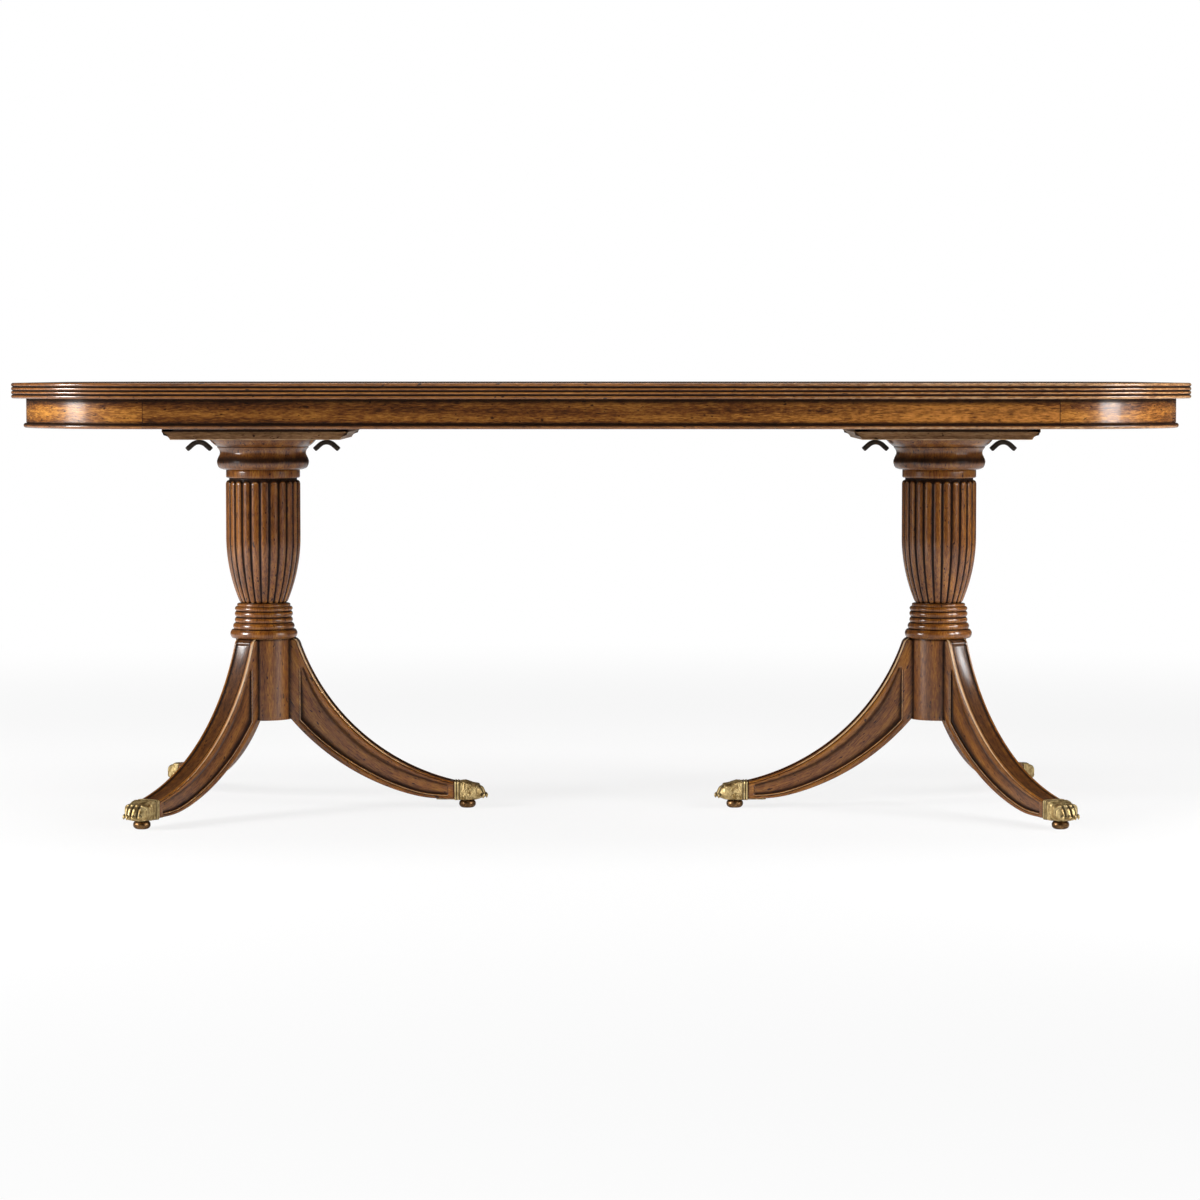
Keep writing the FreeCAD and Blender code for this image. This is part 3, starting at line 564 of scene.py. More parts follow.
@dataclass(frozen=True)
class WoodFinish:
    """Polished timber: streaks, fibres and open pores along the grain, under glaze with painted shade,
    and wear with painted highlights and painted light.

    Attributes:
        name: Name of the material.
        source: Where the direction of the grain comes from.
        heart, body, sap: Colours of the dark, middle and pale streaks.
        grime_and_shade: Colour of the flecks, and of the glaze and painted shade in the hollows.
        worn_and_lit: Colour of the rubbed arrises, the painted highlights and the painted light.
        roughness: Roughness of the clean surface.
        coat: Weight of the clear lacquer.
        tones: Places of the three colours on the scale of the tone, wider apart for calmer grain.
        relief: Strength of the bump of fibres and pores.
    """

    name: str
    source: GrainSource
    heart: Colour
    body: Colour
    sap: Colour
    grime_and_shade: Colour = srgb(22, 8, 2)
    worn_and_lit: Colour = srgb(222, 184, 136)
    roughness: float = 0.4
    coat: float = 1.0
    tones: tuple[float, float, float] = (0.4, 0.5, 0.61)
    relief: float = 0.04

    def grain(self, shader: Shader) -> Wire:
        """Wire the grain's coordinates: along it first, then across it twice.

        Args:
            shader: The material's tree.

        Returns:
            The coordinates.
        """
        if self.source is GrainSource.CARRIED:
            return shader.attribute("grain", "Vector")
        place = shader.node("ShaderNodeTexCoord", None, None, "Object")
        quarter_turn = (0, 0, math.pi / 2)
        return shader.node("ShaderNodeMapping", None, {"Vector": place, "Rotation": quarter_turn})

    @staticmethod
    def rings(shader: Shader, grain: Wire) -> Wire:
        """Wire the year rings, as warped waves round the grain.

        Args:
            shader: The material's tree.
            grain: The grain's coordinates.

        Returns:
            Values from 0 to 1.
        """
        settings = {"wave_type": "RINGS", "rings_direction": "X"}
        inputs = {"Vector": shader.stretch(grain, (0.05, 1, 1)), "Scale": 13.0, "Distortion": 5.0}
        inputs.update({"Detail": 3.0, "Detail Scale": 1.6})
        return shader.node("ShaderNodeTexWave", settings, inputs, "Fac")

    def build(self) -> bpy.types.Material:
        """Build the material.

        The tone is the weighted sum of the layers of noise and the rings, and picks the colour from
        heart to sap. Pores and flecks darken it, glaze and painted shade lie over it in the hollows and
        on shaded faces, and wear, painted highlights and painted light go through both.

        Returns:
            The material, with colour, roughness and bump worked out from the grain.
        """
        shader = Shader(bpy.data.materials.new(self.name))
        grain = self.grain(shader)
        layers = (FIGURE, STREAKS, FIBRES, CLOUDS)
        figure, streak, fibre, cloud = (layer.wire(shader, grain) for layer in layers)
        tone = FIGURE.weight * figure + STREAKS.weight * streak + FIBRES.weight * fibre
        tone = tone + CLOUDS.weight * cloud + RING_WEIGHT * self.rings(shader, grain)
        pores = shader.fade(PORES.wire(shader, grain), 0.57, 0.68)
        fleck = shader.fade(FLECKS.wire(shader, grain), 0.68, 0.74)
        stops = list(zip(self.tones, (self.heart, self.body, self.sap)))
        colour = shader.node("ShaderNodeValToRGB", {"stops": stops}, {"Fac": tone})
        colour = shader.mix(pores * 0.5, colour, self.heart)
        colour = shader.mix(fleck * 0.85, colour, self.grime_and_shade)
        rough = self.roughness + 0.14 * (cloud - 0.5) + 0.08 * pores
        lacquer = self.coat
        if self.source is GrainSource.CARRIED:
            patchy = shader.noise(grain, 95, 3)
            # The glaze attribute is glaze and painted shade; it darkens the colour and thins the
            # lacquer.
            glaze = shader.fade(shader.attribute("glaze") + 0.3 * (patchy - 0.5), 0.06, 0.9)
            # The wear attribute is wear, painted highlights and painted light; it pales the colour.
            uneven = 0.4 * (patchy - 0.5) + 0.7 * (fibre - 0.5)
            wear = shader.fade(shader.attribute("wear") + uneven, 0.35, 0.95)
            colour = shader.mix(glaze * 0.95, colour, self.grime_and_shade)
            colour = shader.mix(wear * 0.65, colour, self.worn_and_lit)
            rough = rough + 0.25 * glaze
            lacquer = self.coat * (1 - 0.9 * shader.fade(shader.attribute("glaze"), 0.3, 0.8))
        height = 0.5 * fibre - 0.7 * pores - 1.2 * fleck
        bumps = {"Strength": self.relief, "Distance": 0.12 * MM, "Height": height}
        normal = shader.node("ShaderNodeBump", None, bumps)
        inputs = {"Base Color": colour, "Roughness": rough, "Normal": normal}
        inputs.update({"Coat Weight": lacquer, "Coat Roughness": 0.18, "Specular IOR Level": 0.12})
        shader.surface(shader.node("ShaderNodeBsdfPrincipled", None, inputs))
        return shader.owner


@dataclass(frozen=True)
class MetalFinish:
    """Aged metal: patches of tone, pitting, dark recesses, painted shade where the piece carries it, and
    rubbed high places.

    Attributes:
        name: Name of the material.
        dull, bright: Colours of the duller and the brighter patches.
        recess: Colour of the grime in the recesses and of the painted shade.
        roughness: Roughness of the clean surface.
        pitting: Strength of the pitted bump.
        carried: Whether the piece has the glaze and wear attributes.
        metallic: Metallic share of the clean surface.
    """

    name: str
    dull: Colour
    bright: Colour
    recess: Colour
    roughness: float
    pitting: float
    carried: bool = True
    metallic: float = 1.0

    def build(self) -> bpy.types.Material:
        """Build the material.

        Returns:
            The material, with colour, roughness, metal and bump worked out in place.
        """
        shader = Shader(bpy.data.materials.new(self.name))
        place = shader.node("ShaderNodeTexCoord", None, None, "Object")
        patch = shader.noise(place, 120, 4, 0.6)
        pits = shader.noise(place, 900, 3, 0.6)
        colour = shader.mix(shader.fade(patch, 0.35, 0.65), self.dull, self.bright)
        grime_and_shade = shader.fade(pits, 0.6, 0.75) * 0.5
        rough = self.roughness + 0.25 * (patch - 0.5)
        if self.carried:
            # Glaze and painted shade from the piece: dark patina in the paws' recesses, painted shade on
            # the glide's top.
            hollow = shader.fade(shader.attribute("glaze") + 0.4 * (patch - 0.5), 0.1, 0.8)
            rubbed = shader.fade(shader.attribute("wear") + 0.5 * (patch - 0.5), 0.3, 0.9)
            colour = shader.mix(rubbed * 0.6, colour, self.bright)
            grime_and_shade = shader.maths("MAXIMUM", grime_and_shade, hollow)
            rough = rough - 0.12 * rubbed
        colour = shader.mix(grime_and_shade * 0.85, colour, self.recess)
        rough = rough + 0.3 * grime_and_shade
        metal = self.metallic * (1 - 0.6 * grime_and_shade)
        bumps = {"Strength": self.pitting, "Distance": 0.4 * MM, "Height": pits + patch}
        normal = shader.node("ShaderNodeBump", None, bumps)
        inputs = {"Base Color": colour, "Roughness": rough, "Metallic": metal, "Normal": normal}
        shader.surface(shader.node("ShaderNodeBsdfPrincipled", None, inputs))
        return shader.owner


class Workshop:
    """The finishes, and the bench where skins become pieces."""

    def __init__(self) -> None:
        """Mix the finishes."""
        browns = (srgb(44, 21, 6), srgb(102, 59, 21), srgb(156, 103, 42))
        darker_browns = (srgb(47, 21, 4), srgb(119, 69, 21), srgb(165, 109, 35))
        plain_browns = (srgb(92, 62, 38), srgb(140, 101, 66), srgb(170, 130, 90))
        # Honey is the walnut's colour for wear, painted highlights and painted light.
        honey = srgb(216, 142, 64)
        self.walnut = WoodFinish("glazed_and_shaded_walnut", GrainSource.CARRIED, *browns, worn_and_lit=honey).build()
        # A paler, more golden copy of the walnut for the apron's ends: painted light for the side lamps
        # that fall on them.
        golden_browns = (srgb(50, 24, 7), srgb(120, 71, 25), srgb(180, 122, 50))
        self.lit_end_wood = WoodFinish("lit_golden_walnut", GrainSource.CARRIED, *golden_browns).build()
        calm = (0.33, 0.5, 0.69)
        reddish_browns = (srgb(60, 31, 11), srgb(132, 82, 37), srgb(170, 115, 57))
        edge = WoodFinish("edge_walnut", GrainSource.CARRIED, *reddish_browns, tones=calm, relief=0.02)
        self.edge_wood = edge.build()
        pedestal = WoodFinish("pedestal_walnut", GrainSource.CARRIED, *darker_browns, tones=calm)
        self.turned_walnut = pedestal.build()
        greyer_browns = (srgb(76, 51, 30), srgb(138, 104, 71), srgb(174, 139, 102))
        bearer = WoodFinish("bearer_walnut", GrainSource.CARRIED, *greyer_browns, coat=0.3, tones=calm)
        self.bearer_wood = bearer.build()
        rails = WoodFinish("plain_rail_wood", GrainSource.ALONG_Y, *plain_browns, roughness=0.6,
                           coat=0.0)
        self.rail_wood = rails.build()
        shades = (srgb(148, 122, 76), srgb(216, 193, 140), srgb(44, 31, 12))
        self.brass = MetalFinish("cast_brass", *shades, roughness=0.52, pitting=0.3).build()
        shades = (srgb(96, 70, 44), srgb(136, 104, 70), srgb(26, 17, 10))
        self.bronze = MetalFinish("brown_bronze", *shades, roughness=0.36, pitting=0.12).build()
        shades = (srgb(30, 24, 19), srgb(58, 49, 40), srgb(14, 10, 8))
        iron = MetalFinish("black_iron", *shades, roughness=0.5, pitting=0.3, metallic=0.55)
        self.iron = iron.build()
        shades = (srgb(140, 140, 138), srgb(190, 190, 186), srgb(70, 62, 52))
        steel = MetalFinish("plated_steel", *shades, roughness=0.38, pitting=0.15, carried=False)
        self.steel = steel.build()

    def piece(self, name: str, skins: list[Skin], finish: bpy.types.Material,
              nodes: list[str], body: str = TABLE_BODY) -> None:
        """Make one piece from its skins and set it on its body.

        Args:
            name: Name of the piece.
            skins: The closed surfaces that it is made of.
            finish: Its material.
            nodes: The nodes of the frame that it stands for.
            body: The body that it moves with.
        """
        points = np.concatenate([skin.points.reshape(-1, 3) for skin in skins])
        faces = []
        first = 0
        for skin in skins:
            faces += [[corner + first for corner in face] for face in skin.faces()]
            first += skin.glaze.size
        mesh = bpy.data.meshes.new(name)
        mesh.from_pydata(points.tolist(), [], faces)
        mesh.polygons.foreach_set("use_smooth", np.array([len(face) == 4 for face in faces]))
        grain = np.concatenate([skin.grain.reshape(-1, 3) for skin in skins])
        carried = mesh.attributes.new("grain", "FLOAT_VECTOR", "POINT")
        carried.data.foreach_set("vector", grain.ravel())
        for kind in ("glaze", "wear"):
            values = np.concatenate([getattr(skin, kind).ravel() for skin in skins])
            mesh.attributes.new(kind, "FLOAT", "POINT").data.foreach_set("value", values)
        mesh.materials.append(finish)
        mesh.update()
        made = bpy.data.objects.new(name, mesh)
        bpy.context.scene.collection.objects.link(made)
        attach(made, body)
        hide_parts(*nodes)
        LOG.info("%s: %d faces, stands for %s", name, len(faces), ", ".join(nodes))

    def dress(self, nodes: list[str], finish: bpy.types.Material) -> None:
        """Give nodes of the frame a finish.

        Args:
            nodes: Names of the nodes, which keep their own shape.
            finish: The material.
        """
        for name in nodes:
            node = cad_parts[name]
            for place in node.material_slots:
                place.material = finish
            LOG.info("%s: kept from the frame", name)


@dataclass
class TableTop:
    """The top panel and what goes round it: reeded edge, apron and bead.

    Attributes:
        half_length, half_width: Half the size of the top.
        corner_x: Where the corner bends start along X.
        top_z, under_z: Levels of the top panel.
        apron_z, bead_z: Levels of the undersides of the apron and the bead.
        edge_width: Width of the lipping.
        reeds: Number of reeds on the edge.
        reed_rise: How far a reed stands out.
        overhang: From the edge back to the face of the apron.
        rail: Thickness of the apron.
        quirk: Width of the dark chamfer above the bead.
        bead_rise: How far the bead stands out from the apron.
        seam: Rounding of the arrises where two pieces meet.
        shadow_depth: How far below the edge the apron carries a painted shadow from the edge's overhang.
        glaze_and_shade_spread: How far the glaze and painted shade spread out of the hollows.
        joint_glaze: Glaze where two lengths of the apron meet.
        rubbed: Wear of the arrises.
        right_light_span: From where along X to where painted light makes the wood paler, more and more.
            apron_right_light, edge_right_light: Painted light where it makes the apron and the edge
                palest.
        straight_steps, bend_steps: Parts of a straight length and of a bend.
    """

    half_length: float
    half_width: float
    corner_x: float
    top_z: float
    under_z: float
    apron_z: float
    bead_z: float
    edge_width: float = 30 * MM
    reeds: int = 4
    reed_rise: float = 3.0 * MM
    overhang: float = 25 * MM
    rail: float = 22 * MM
    quirk: float = 1.3 * MM
    bead_rise: float = 4.6 * MM
    seam: float = 0.3 * MM
    shadow_depth: float = 14 * MM
    glaze_and_shade_spread: float = 2.6 * MM
    joint_glaze: float = 0.9
    rubbed: float = 0.12
    right_light_span: tuple[float, float] = (-0.25, 0.6)
    apron_right_light: float = 0.6
    edge_right_light: float = 0.46
    straight_steps: int = 120
    bend_steps: int = 40

    @classmethod
    def from_frame(cls) -> "TableTop":
        """Take the levels and the bends from the frame.

        Returns:
            The top, with its other sizes as they stand.
        """
        edge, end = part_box("edge_front"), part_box("edge_right")
        apron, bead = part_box("apron_front"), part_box("bead_front")
        return cls(end[1].x, -edge[0].y, edge[1].x, edge[1].z, edge[0].z, apron[0].z, bead[0].z)

    @property
    def corner_r(self) -> float:
        """Outer radius of the corners of the top."""
        return self.half_length - self.corner_x

    @property
    def corner_y(self) -> float:
        """Where the corner bends start along Y."""
        return self.half_width - self.corner_r

    def path(self, place: Place) -> tuple[np.ndarray, np.ndarray, np.ndarray]:
        """Walk along one of the four lengths, on the line of the corner centres.

        The front is a straight walk. An end is a quarter bend about one corner centre, a straight
        walk and a quarter bend about the other, so there the outward direction turns. The back and
        the left are the front and the right turned by half a turn.

        Args:
            place: Which of the lengths.

        Returns:
            Foot points, outward directions and distances walked.
        """
        x, y = self.corner_x, self.corner_y
        close = self.seam * np.array([0, 1, 3])
        if place in (Place.FRONT, Place.BACK):
            walk = np.linspace(-x, x, self.straight_steps + 1)
            walk = np.concatenate([walk[0] + close, walk[1:-1], walk[-1] - close[::-1]])
            feet = np.stack([walk, np.full_like(walk, -y)], 1)
            out = np.broadcast_to([0.0, -1.0], feet.shape)
            length = walk
        else:
            bend = np.linspace(-math.pi / 2, 0, self.bend_steps + 1)
            first = np.concatenate([bend[0] + close / self.corner_r, bend[1:]])
            last = -first[::-1]
            level = np.linspace(-y, y, self.straight_steps // 3 + 1)
            angle = np.concatenate([first, np.zeros(len(level) - 2), last])
            rise = np.concatenate([np.full_like(first, -y), level[1:-1], np.full_like(last, y)])
            feet = np.stack([np.full_like(rise, x), rise], 1)
            out = np.stack([np.cos(angle), np.sin(angle)], 1)
            length = angle * self.corner_r + rise
        turn = -1.0 if place in (Place.BACK, Place.LEFT) else 1.0
        return feet * turn, out * turn, length

    def carried(self, line: np.ndarray, place: Place, seed: np.ndarray, shade: np.ndarray,
                joint: float, right_light: float) -> Skin:
        """Carry a closed section along one length, with its end arrises eased.

        A section point (d, z) goes to the foot point plus d times the outward direction, at z.
        Painted light makes the table's right-hand half paler, more and more towards its end.

        Args:
            line: Distance out from the corner centres and level of each point.
            place: Which of the lengths.
            seed: Offsets of the grain, along it and across it, so that lengths differ.
            shade: Least painted shade at each point of the section.
            joint: Glaze on the end arrises.
            right_light: Painted light, carried with the wear, where it makes the section palest.

        Returns:
            The skin.
        """
        feet, out, length = self.path(place)
        eased = np.zeros(len(feet))
        eased[[0, -1]] = self.seam
        section = line[None] - eased[:, None, None] * outward(line, True)[None]
        flat = feet[:, None] + section[..., :1] * out[:, None]
        points = np.concatenate([flat, section[..., 1:]], -1)
        along = np.broadcast_to((length + seed[0])[:, None, None], (*points.shape[:2], 1))
        grain = np.concatenate([along, section + seed[1:]], -1)
        glaze, wear = creases(line, True, self.glaze_and_shade_spread)
        shape = points.shape[:2]
        glaze = np.maximum(np.broadcast_to(glaze, shape), shade)
        ends = [0, 1, -2, -1]
        glaze[ends] = np.maximum(glaze[ends], joint)
        # Painted light: paler towards the table's right-hand end, and not in the hollows.
        painted_right_light = right_light * smooth(*self.right_light_span, points[..., 0]) * (1 - glaze)
        return Skin(points, grain, glaze, self.rubbed * wear + painted_right_light)

    def edge_section(self) -> np.ndarray:
        """Section of the lipping: flat on top and beneath, with half-round reeds outside.

        Returns:
            Distance out from the corner centres and level of each point.
        """
        inner, hollow = self.corner_r - self.edge_width, self.corner_r - self.reed_rise
        height = (self.top_z - self.under_z) / self.reeds
        line = Outline(inner, self.top_z).line(inner, self.under_z).line(hollow, self.under_z, 2)
        for row in range(self.reeds):
            line.bow(hollow, self.under_z + (row + 1) * height, self.reed_rise, 10)
        return line.line(inner + 2 * self.seam, self.top_z, 2).points(self.seam, True)

    def apron_section(self) -> np.ndarray:
        """Section of the apron, with a chamfer at the foot of its face for the quirk.

        Returns:
            Distance out from the corner centres and level of each point.
        """
        face = self.corner_r - self.overhang
        line = Outline(face - self.rail, self.under_z).line(face - self.rail, self.apron_z)
        line.line(face - self.quirk, self.apron_z, 2).line(face, self.apron_z + self.quirk)
        return line.line(face, self.under_z, 24).points(self.seam, True)

    def bead_section(self) -> np.ndarray:
        """Section of the bead: a strip with a half-round nose.

        Returns:
            Distance out from the corner centres and level of each point.
        """
        face = self.corner_r - self.overhang
        radius = (self.apron_z - self.bead_z) / 2
        nose = face + self.bead_rise - radius
        line = Outline(face - self.rail, self.apron_z).line(face - self.rail, self.bead_z)
        line.line(nose, self.bead_z, 2).bow(nose, self.apron_z, radius, 14)
        return line.line(face - self.rail + 2 * self.seam, self.apron_z, 2).points(self.seam, True)

    def panel(self) -> Skin:
        """The flat panel: an outline with four round corners, extruded, its grain along X.

        Returns:
            The skin.
        """
        x, y, radius = self.corner_x, self.corner_y, self.corner_r - self.edge_width
        rise = radius * (1 - math.sqrt(0.5))
        steps = 24
        line = Outline(-x, -y - radius).line(x, -y - radius).bow(x + radius, -y, rise, steps)
        line.line(x + radius, y).bow(x, y + radius, rise, steps).line(-x, y + radius)
        line.bow(-x - radius, y, rise, steps).line(-x - radius, -y)
        line.bow(-x, -y - radius, rise, steps)
        made = extruded(line.points()[:-1], self.under_z, self.top_z, self.seam)
        return plain(made.points)

    def painted_shading(self, kind: Moulding, section: np.ndarray) -> np.ndarray:
        """Work out the painted shade of a section, beyond its creases.

        On the edge it is painted shade that grows as a reed falls back from its crest. On the apron it
        is a painted shadow that fades down from the top, under the edge, and painted shade that fades up
        from the foot, in the quirk; on the bead it is painted shade that fades down from the apron.

        Args:
            kind: Which moulding.
            section: Distance out from the corner centres and level of each point.

        Returns:
            The least painted shade at each point, from 0 to 1.
        """
        out, level = section.T
        if kind is Moulding.BEAD:
            # Painted shade on the bead's upper half, under the apron.
            return 0.9 * smooth(5 * MM, 2 * MM, self.apron_z - level)
        if kind is Moulding.APRON:
            # Painted shadow under the edge's overhang, and painted shade in the quirk at the foot.
            overhang_shadow = 0.95 * smooth(self.shadow_depth, 0, self.under_z - level)
            return overhang_shadow + 0.8 * smooth(6 * MM, 0, level - self.apron_z)
        # Painted shade on each reed as it falls back from its crest.
        stand = 1 - (self.corner_r - out) / self.reed_rise
        half_reed = (self.top_z - self.under_z) / self.reeds / 2
        between = (level > self.under_z + half_reed) & (level < self.top_z - half_reed)
        return np.where(between, np.clip((0.98 - stand) / 0.22, 0, 1), 0)

    def seed(self, kind: Moulding, number: int, title: str) -> np.ndarray:
        """Offsets of the grain of one length, along it and across it.

        The grain of the edge runs on from length to length. The others each start at another place.

        Args:
            kind: Which moulding.
            number: Number of the length, going round from the front.
            title: First words of the piece's name.

        Returns:
            The three offsets.
        """
        if kind is Moulding.EDGE:
            runs_on = self.corner_x + self.corner_y + math.pi / 2 * self.corner_r
            return np.array([runs_on * ((number + 1) % len(Place) - 1), 0, 0])
        return np.full(3, 0.31 * number + 0.07 * len(title))

    def build(self, shop: Workshop) -> None:
        """Build and dress the top, its edge, apron and bead, and the rails under it.

        Args:
            shop: Makes the pieces and holds their finishes.
        """
        shop.piece("walnut_top", [self.panel()], shop.walnut, ["top_panel"])
        sections = {
            Moulding.EDGE: ("reeded_edge", self.edge_section()),
            Moulding.APRON: ("apron_rail", self.apron_section()),
            Moulding.BEAD: ("apron_bead", self.bead_section()),
        }
        for kind, (title, section) in sections.items():
            shade = self.painted_shading(kind, section)
            for number, place in enumerate(Place):
                joint, right_light, finish = 0.0, self.edge_right_light, shop.edge_wood
                if kind is Moulding.APRON:
                    is_end = place in (Place.LEFT, Place.RIGHT)
                    joint, right_light = self.joint_glaze, 0.0 if is_end else self.apron_right_light
                    finish = shop.lit_end_wood if is_end else shop.walnut
                seed = self.seed(kind, number, title)
                skin = self.carried(section, place, seed, shade, joint, right_light)
                node = f"{kind.value}_{place.value}"
                shop.piece(f"{title}_{place.value}", [skin], finish, [node])
        places = ("left_outer", "left_inner", "right_inner", "right_outer")
        shop.dress([f"cross_rail_{place}" for place in places], shop.rail_wood)
        shop.dress(["top_screws", "hanger_studs"], shop.steel)


@dataclass
class SabreLeg:
    """A sabre leg pointing along +X: fluted on top, with edge beads and sunk side panels.

    The leg lies between an upper arc and, further from the centre of that arc, the drum, a lower
    arc and the flat of the foot. Its grid lines are rays from the centre of the upper arc.

    Attributes:
        head: Where the upper arc starts, as (reach, level).
        cuff: Where the upper arc meets the paw cap.
        root: Where the lower arc leaves the drum.
        sole: Where the lower arc meets the flat of the foot.
        upper_r, lower_r: Radii of the two arcs.
        half: Half the width of the leg.
        buried: Reach of the leg's back, inside the drum.
        past_cuff: How far the leg runs on into the paw cap.
        panel_margin, end_strip: From the arcs to the panel, in the middle and near its ends.
        back_margin, end_margin: From the drum and the cuff to the panel.
        panel_depth: How deep the panel lies.
        cove, end_cove: Width of the panel's upper wall, in the middle and near its ends.
        wall: Width of the panel's lower wall.
        flute_half: Half the width of the flute.
        flute_wall, flute_depth: Depth of the flute at its sides, and its further fall to the middle.
        flute_stop, flute_start: From the cuff and from the head to the ends of the flute.
        quirk: Depth of the fine grooves in the sides.
        sole_round, head_round: Rounding of the lower arrises and of the head.
        sole_ease: How far the corner between the lower arc and the foot's flat is eased.
        rows: Number of rays.
        side_steps: Parts of each stretch of a side.
    """

    head: tuple[float, float] = (61.2 * MM, 306 * MM)
    cuff: tuple[float, float] = (341.5 * MM, 47.5 * MM)
    root: tuple[float, float] = (50 * MM, 160 * MM)
    sole: tuple[float, float] = (300 * MM, 17 * MM)
    upper_r: float = 387.5 * MM
    lower_r: float = 428.5 * MM
    half: float = 20 * MM
    buried: float = 43 * MM
    past_cuff: float = 4 * MM
    panel_margin: float = 12 * MM
    end_strip: float = 6.5 * MM
    back_margin: float = 16 * MM
    end_margin: float = 10.5 * MM
    panel_depth: float = 3.2 * MM
    cove: float = 9 * MM
    end_cove: float = 4 * MM
    wall: float = 1.6 * MM
    flute_half: float = 14.6 * MM
    flute_wall: float = 2.2 * MM
    flute_depth: float = 0.9 * MM
    flute_stop: float = 9.5 * MM
    flute_start: float = 11 * MM
    quirk: float = 0.8 * MM
    sole_round: float = 1.6 * MM
    sole_ease: float = 2.5 * MM
    head_round: float = 9 * MM
    rows: int = 300
    side_steps: tuple[int, ...] = (1, 5, 3, 8, 7, 5, 2, 5, 3)

    @property
    def bead_half(self) -> float:
        """Half the width of the beads beside the flute."""
        return (self.half - self.flute_half) / 2

    @property
    def crest(self) -> float:
        """Distance of a bead's crest from the middle."""
        return self.half - self.bead_half

    @staticmethod
    def centre(high: tuple[float, float], low: tuple[float, float], radius: float) -> np.ndarray:
        """Centre, above the chord, of the arc from a high point down to a low one.

        Args:
            high, low: The ends of the arc, as reach and level.
            radius: Its radius.

        Returns:
            The centre, as reach and level.
        """
        start, end = np.array(high), np.array(low)
        chord = end - start
        length = np.linalg.norm(chord)
        lift = math.sqrt(radius**2 - (length / 2) ** 2)
        return (start + end) / 2 + np.array([-chord[1], chord[0]]) / length * lift

    def rays(self) -> tuple[np.ndarray, np.ndarray, np.ndarray]:
        """Fan of rays from the centre of the upper arc, from the head to inside the cuff.

        Returns:
            The centre, the angles and the unit directions.
        """
        centre = self.centre(self.head, self.cuff, self.upper_r)
        first = np.array(self.head) - centre
        last = np.array([self.cuff[0] + self.past_cuff, self.sole[1]]) - centre
        angle = np.linspace(math.atan2(first[1], first[0]), math.atan2(last[1], last[0]), self.rows)
        return centre, angle, np.stack([np.cos(angle), np.sin(angle)], 1)

    def far_side(self, margin: float | np.ndarray, back: float) -> np.ndarray:
        """Distance along each ray to the leg's far side, less a margin.

        It is the least of the distances to an upright line at the back, to the lower arc drawn in
        by the margin, and to the foot's flat raised by it. The corner between the last two is eased
        with the soft least of a and b, which is -k times the logarithm of exp(-a/k) + exp(-b/k).

        Args:
            margin: How far inside the far side, for all rays or for each.
            back: Reach of the upright line.

        Returns:
            One distance per ray.
        """
        centre, _, ray = self.rays()
        lower = self.centre(self.root, self.sole, self.lower_r)
        offset = centre - lower
        along = ray @ offset
        to_arc = -along + np.sqrt(along**2 - offset @ offset + (self.lower_r - margin) ** 2)
        to_sole = (self.sole[1] + margin - centre[1]) / np.minimum(ray[:, 1], -TINY)
        under = -self.sole_ease * np.logaddexp(-to_arc / self.sole_ease, -to_sole / self.sole_ease)
        to_back = (back - centre[0]) / np.minimum(ray[:, 0], -TINY)
        return np.minimum(under, np.where(ray[:, 0] < -TINY, to_back, np.inf))

    def top_depth(self, across: np.ndarray, reach: np.ndarray, level: np.ndarray) -> np.ndarray:
        """How far the top lies below the upper arc.

        The flute is its wall plus its depth times 1 less the square of the share of its half
        width, between its two stops. The bead outside it is round: the inner half is a quarter
        ellipse as high as the wall, and the outer half a quarter circle down to the side.

        Args:
            across: Distance across the leg.
            reach: Distance out from the drum's axis.
            level: Height of the upper arc.

        Returns:
            The depth at each point.
        """
        wide = np.abs(across)
        bead_half, crest = self.bead_half, self.crest
        stop, start = self.cuff[0] - self.flute_stop, self.head[1] - self.flute_start
        run = smooth(stop + 3 * MM, stop, reach) * smooth(start + 4 * MM, start, level)
        flute = self.flute_wall + self.flute_depth * (1 - (wide / self.flute_half) ** 2)
        inner = self.flute_wall * (1 - np.sqrt(np.clip(1 - ((crest - wide) / bead_half) ** 2, 0, 1)))
        outer = bead_half - np.sqrt(np.maximum(bead_half**2 - np.maximum(wide - crest, 0) ** 2, 0))
        bead = np.where(wide < crest, inner, outer)
        flat = np.where(wide < crest, 0, outer)
        shaped = np.where(wide < self.flute_half, flute, bead)
        return flat + (shaped - flat) * run

    def top_columns(self) -> np.ndarray:
        """Places across the top, close together on the beads and in the quirks.

        Returns:
            Distances from the middle, from one side to the other.
        """
        bead_half, crest = self.bead_half, self.crest
        curl = crest + bead_half * np.sin(np.linspace(0, math.pi / 2, 7))
        inner = crest - bead_half * np.sin(np.linspace(math.pi / 2, 0, 7))
        right = np.concatenate([np.linspace(0, self.flute_half - 0.3 * MM, 10), inner, curl[1:]])
        return np.concatenate([-right[:0:-1], right])

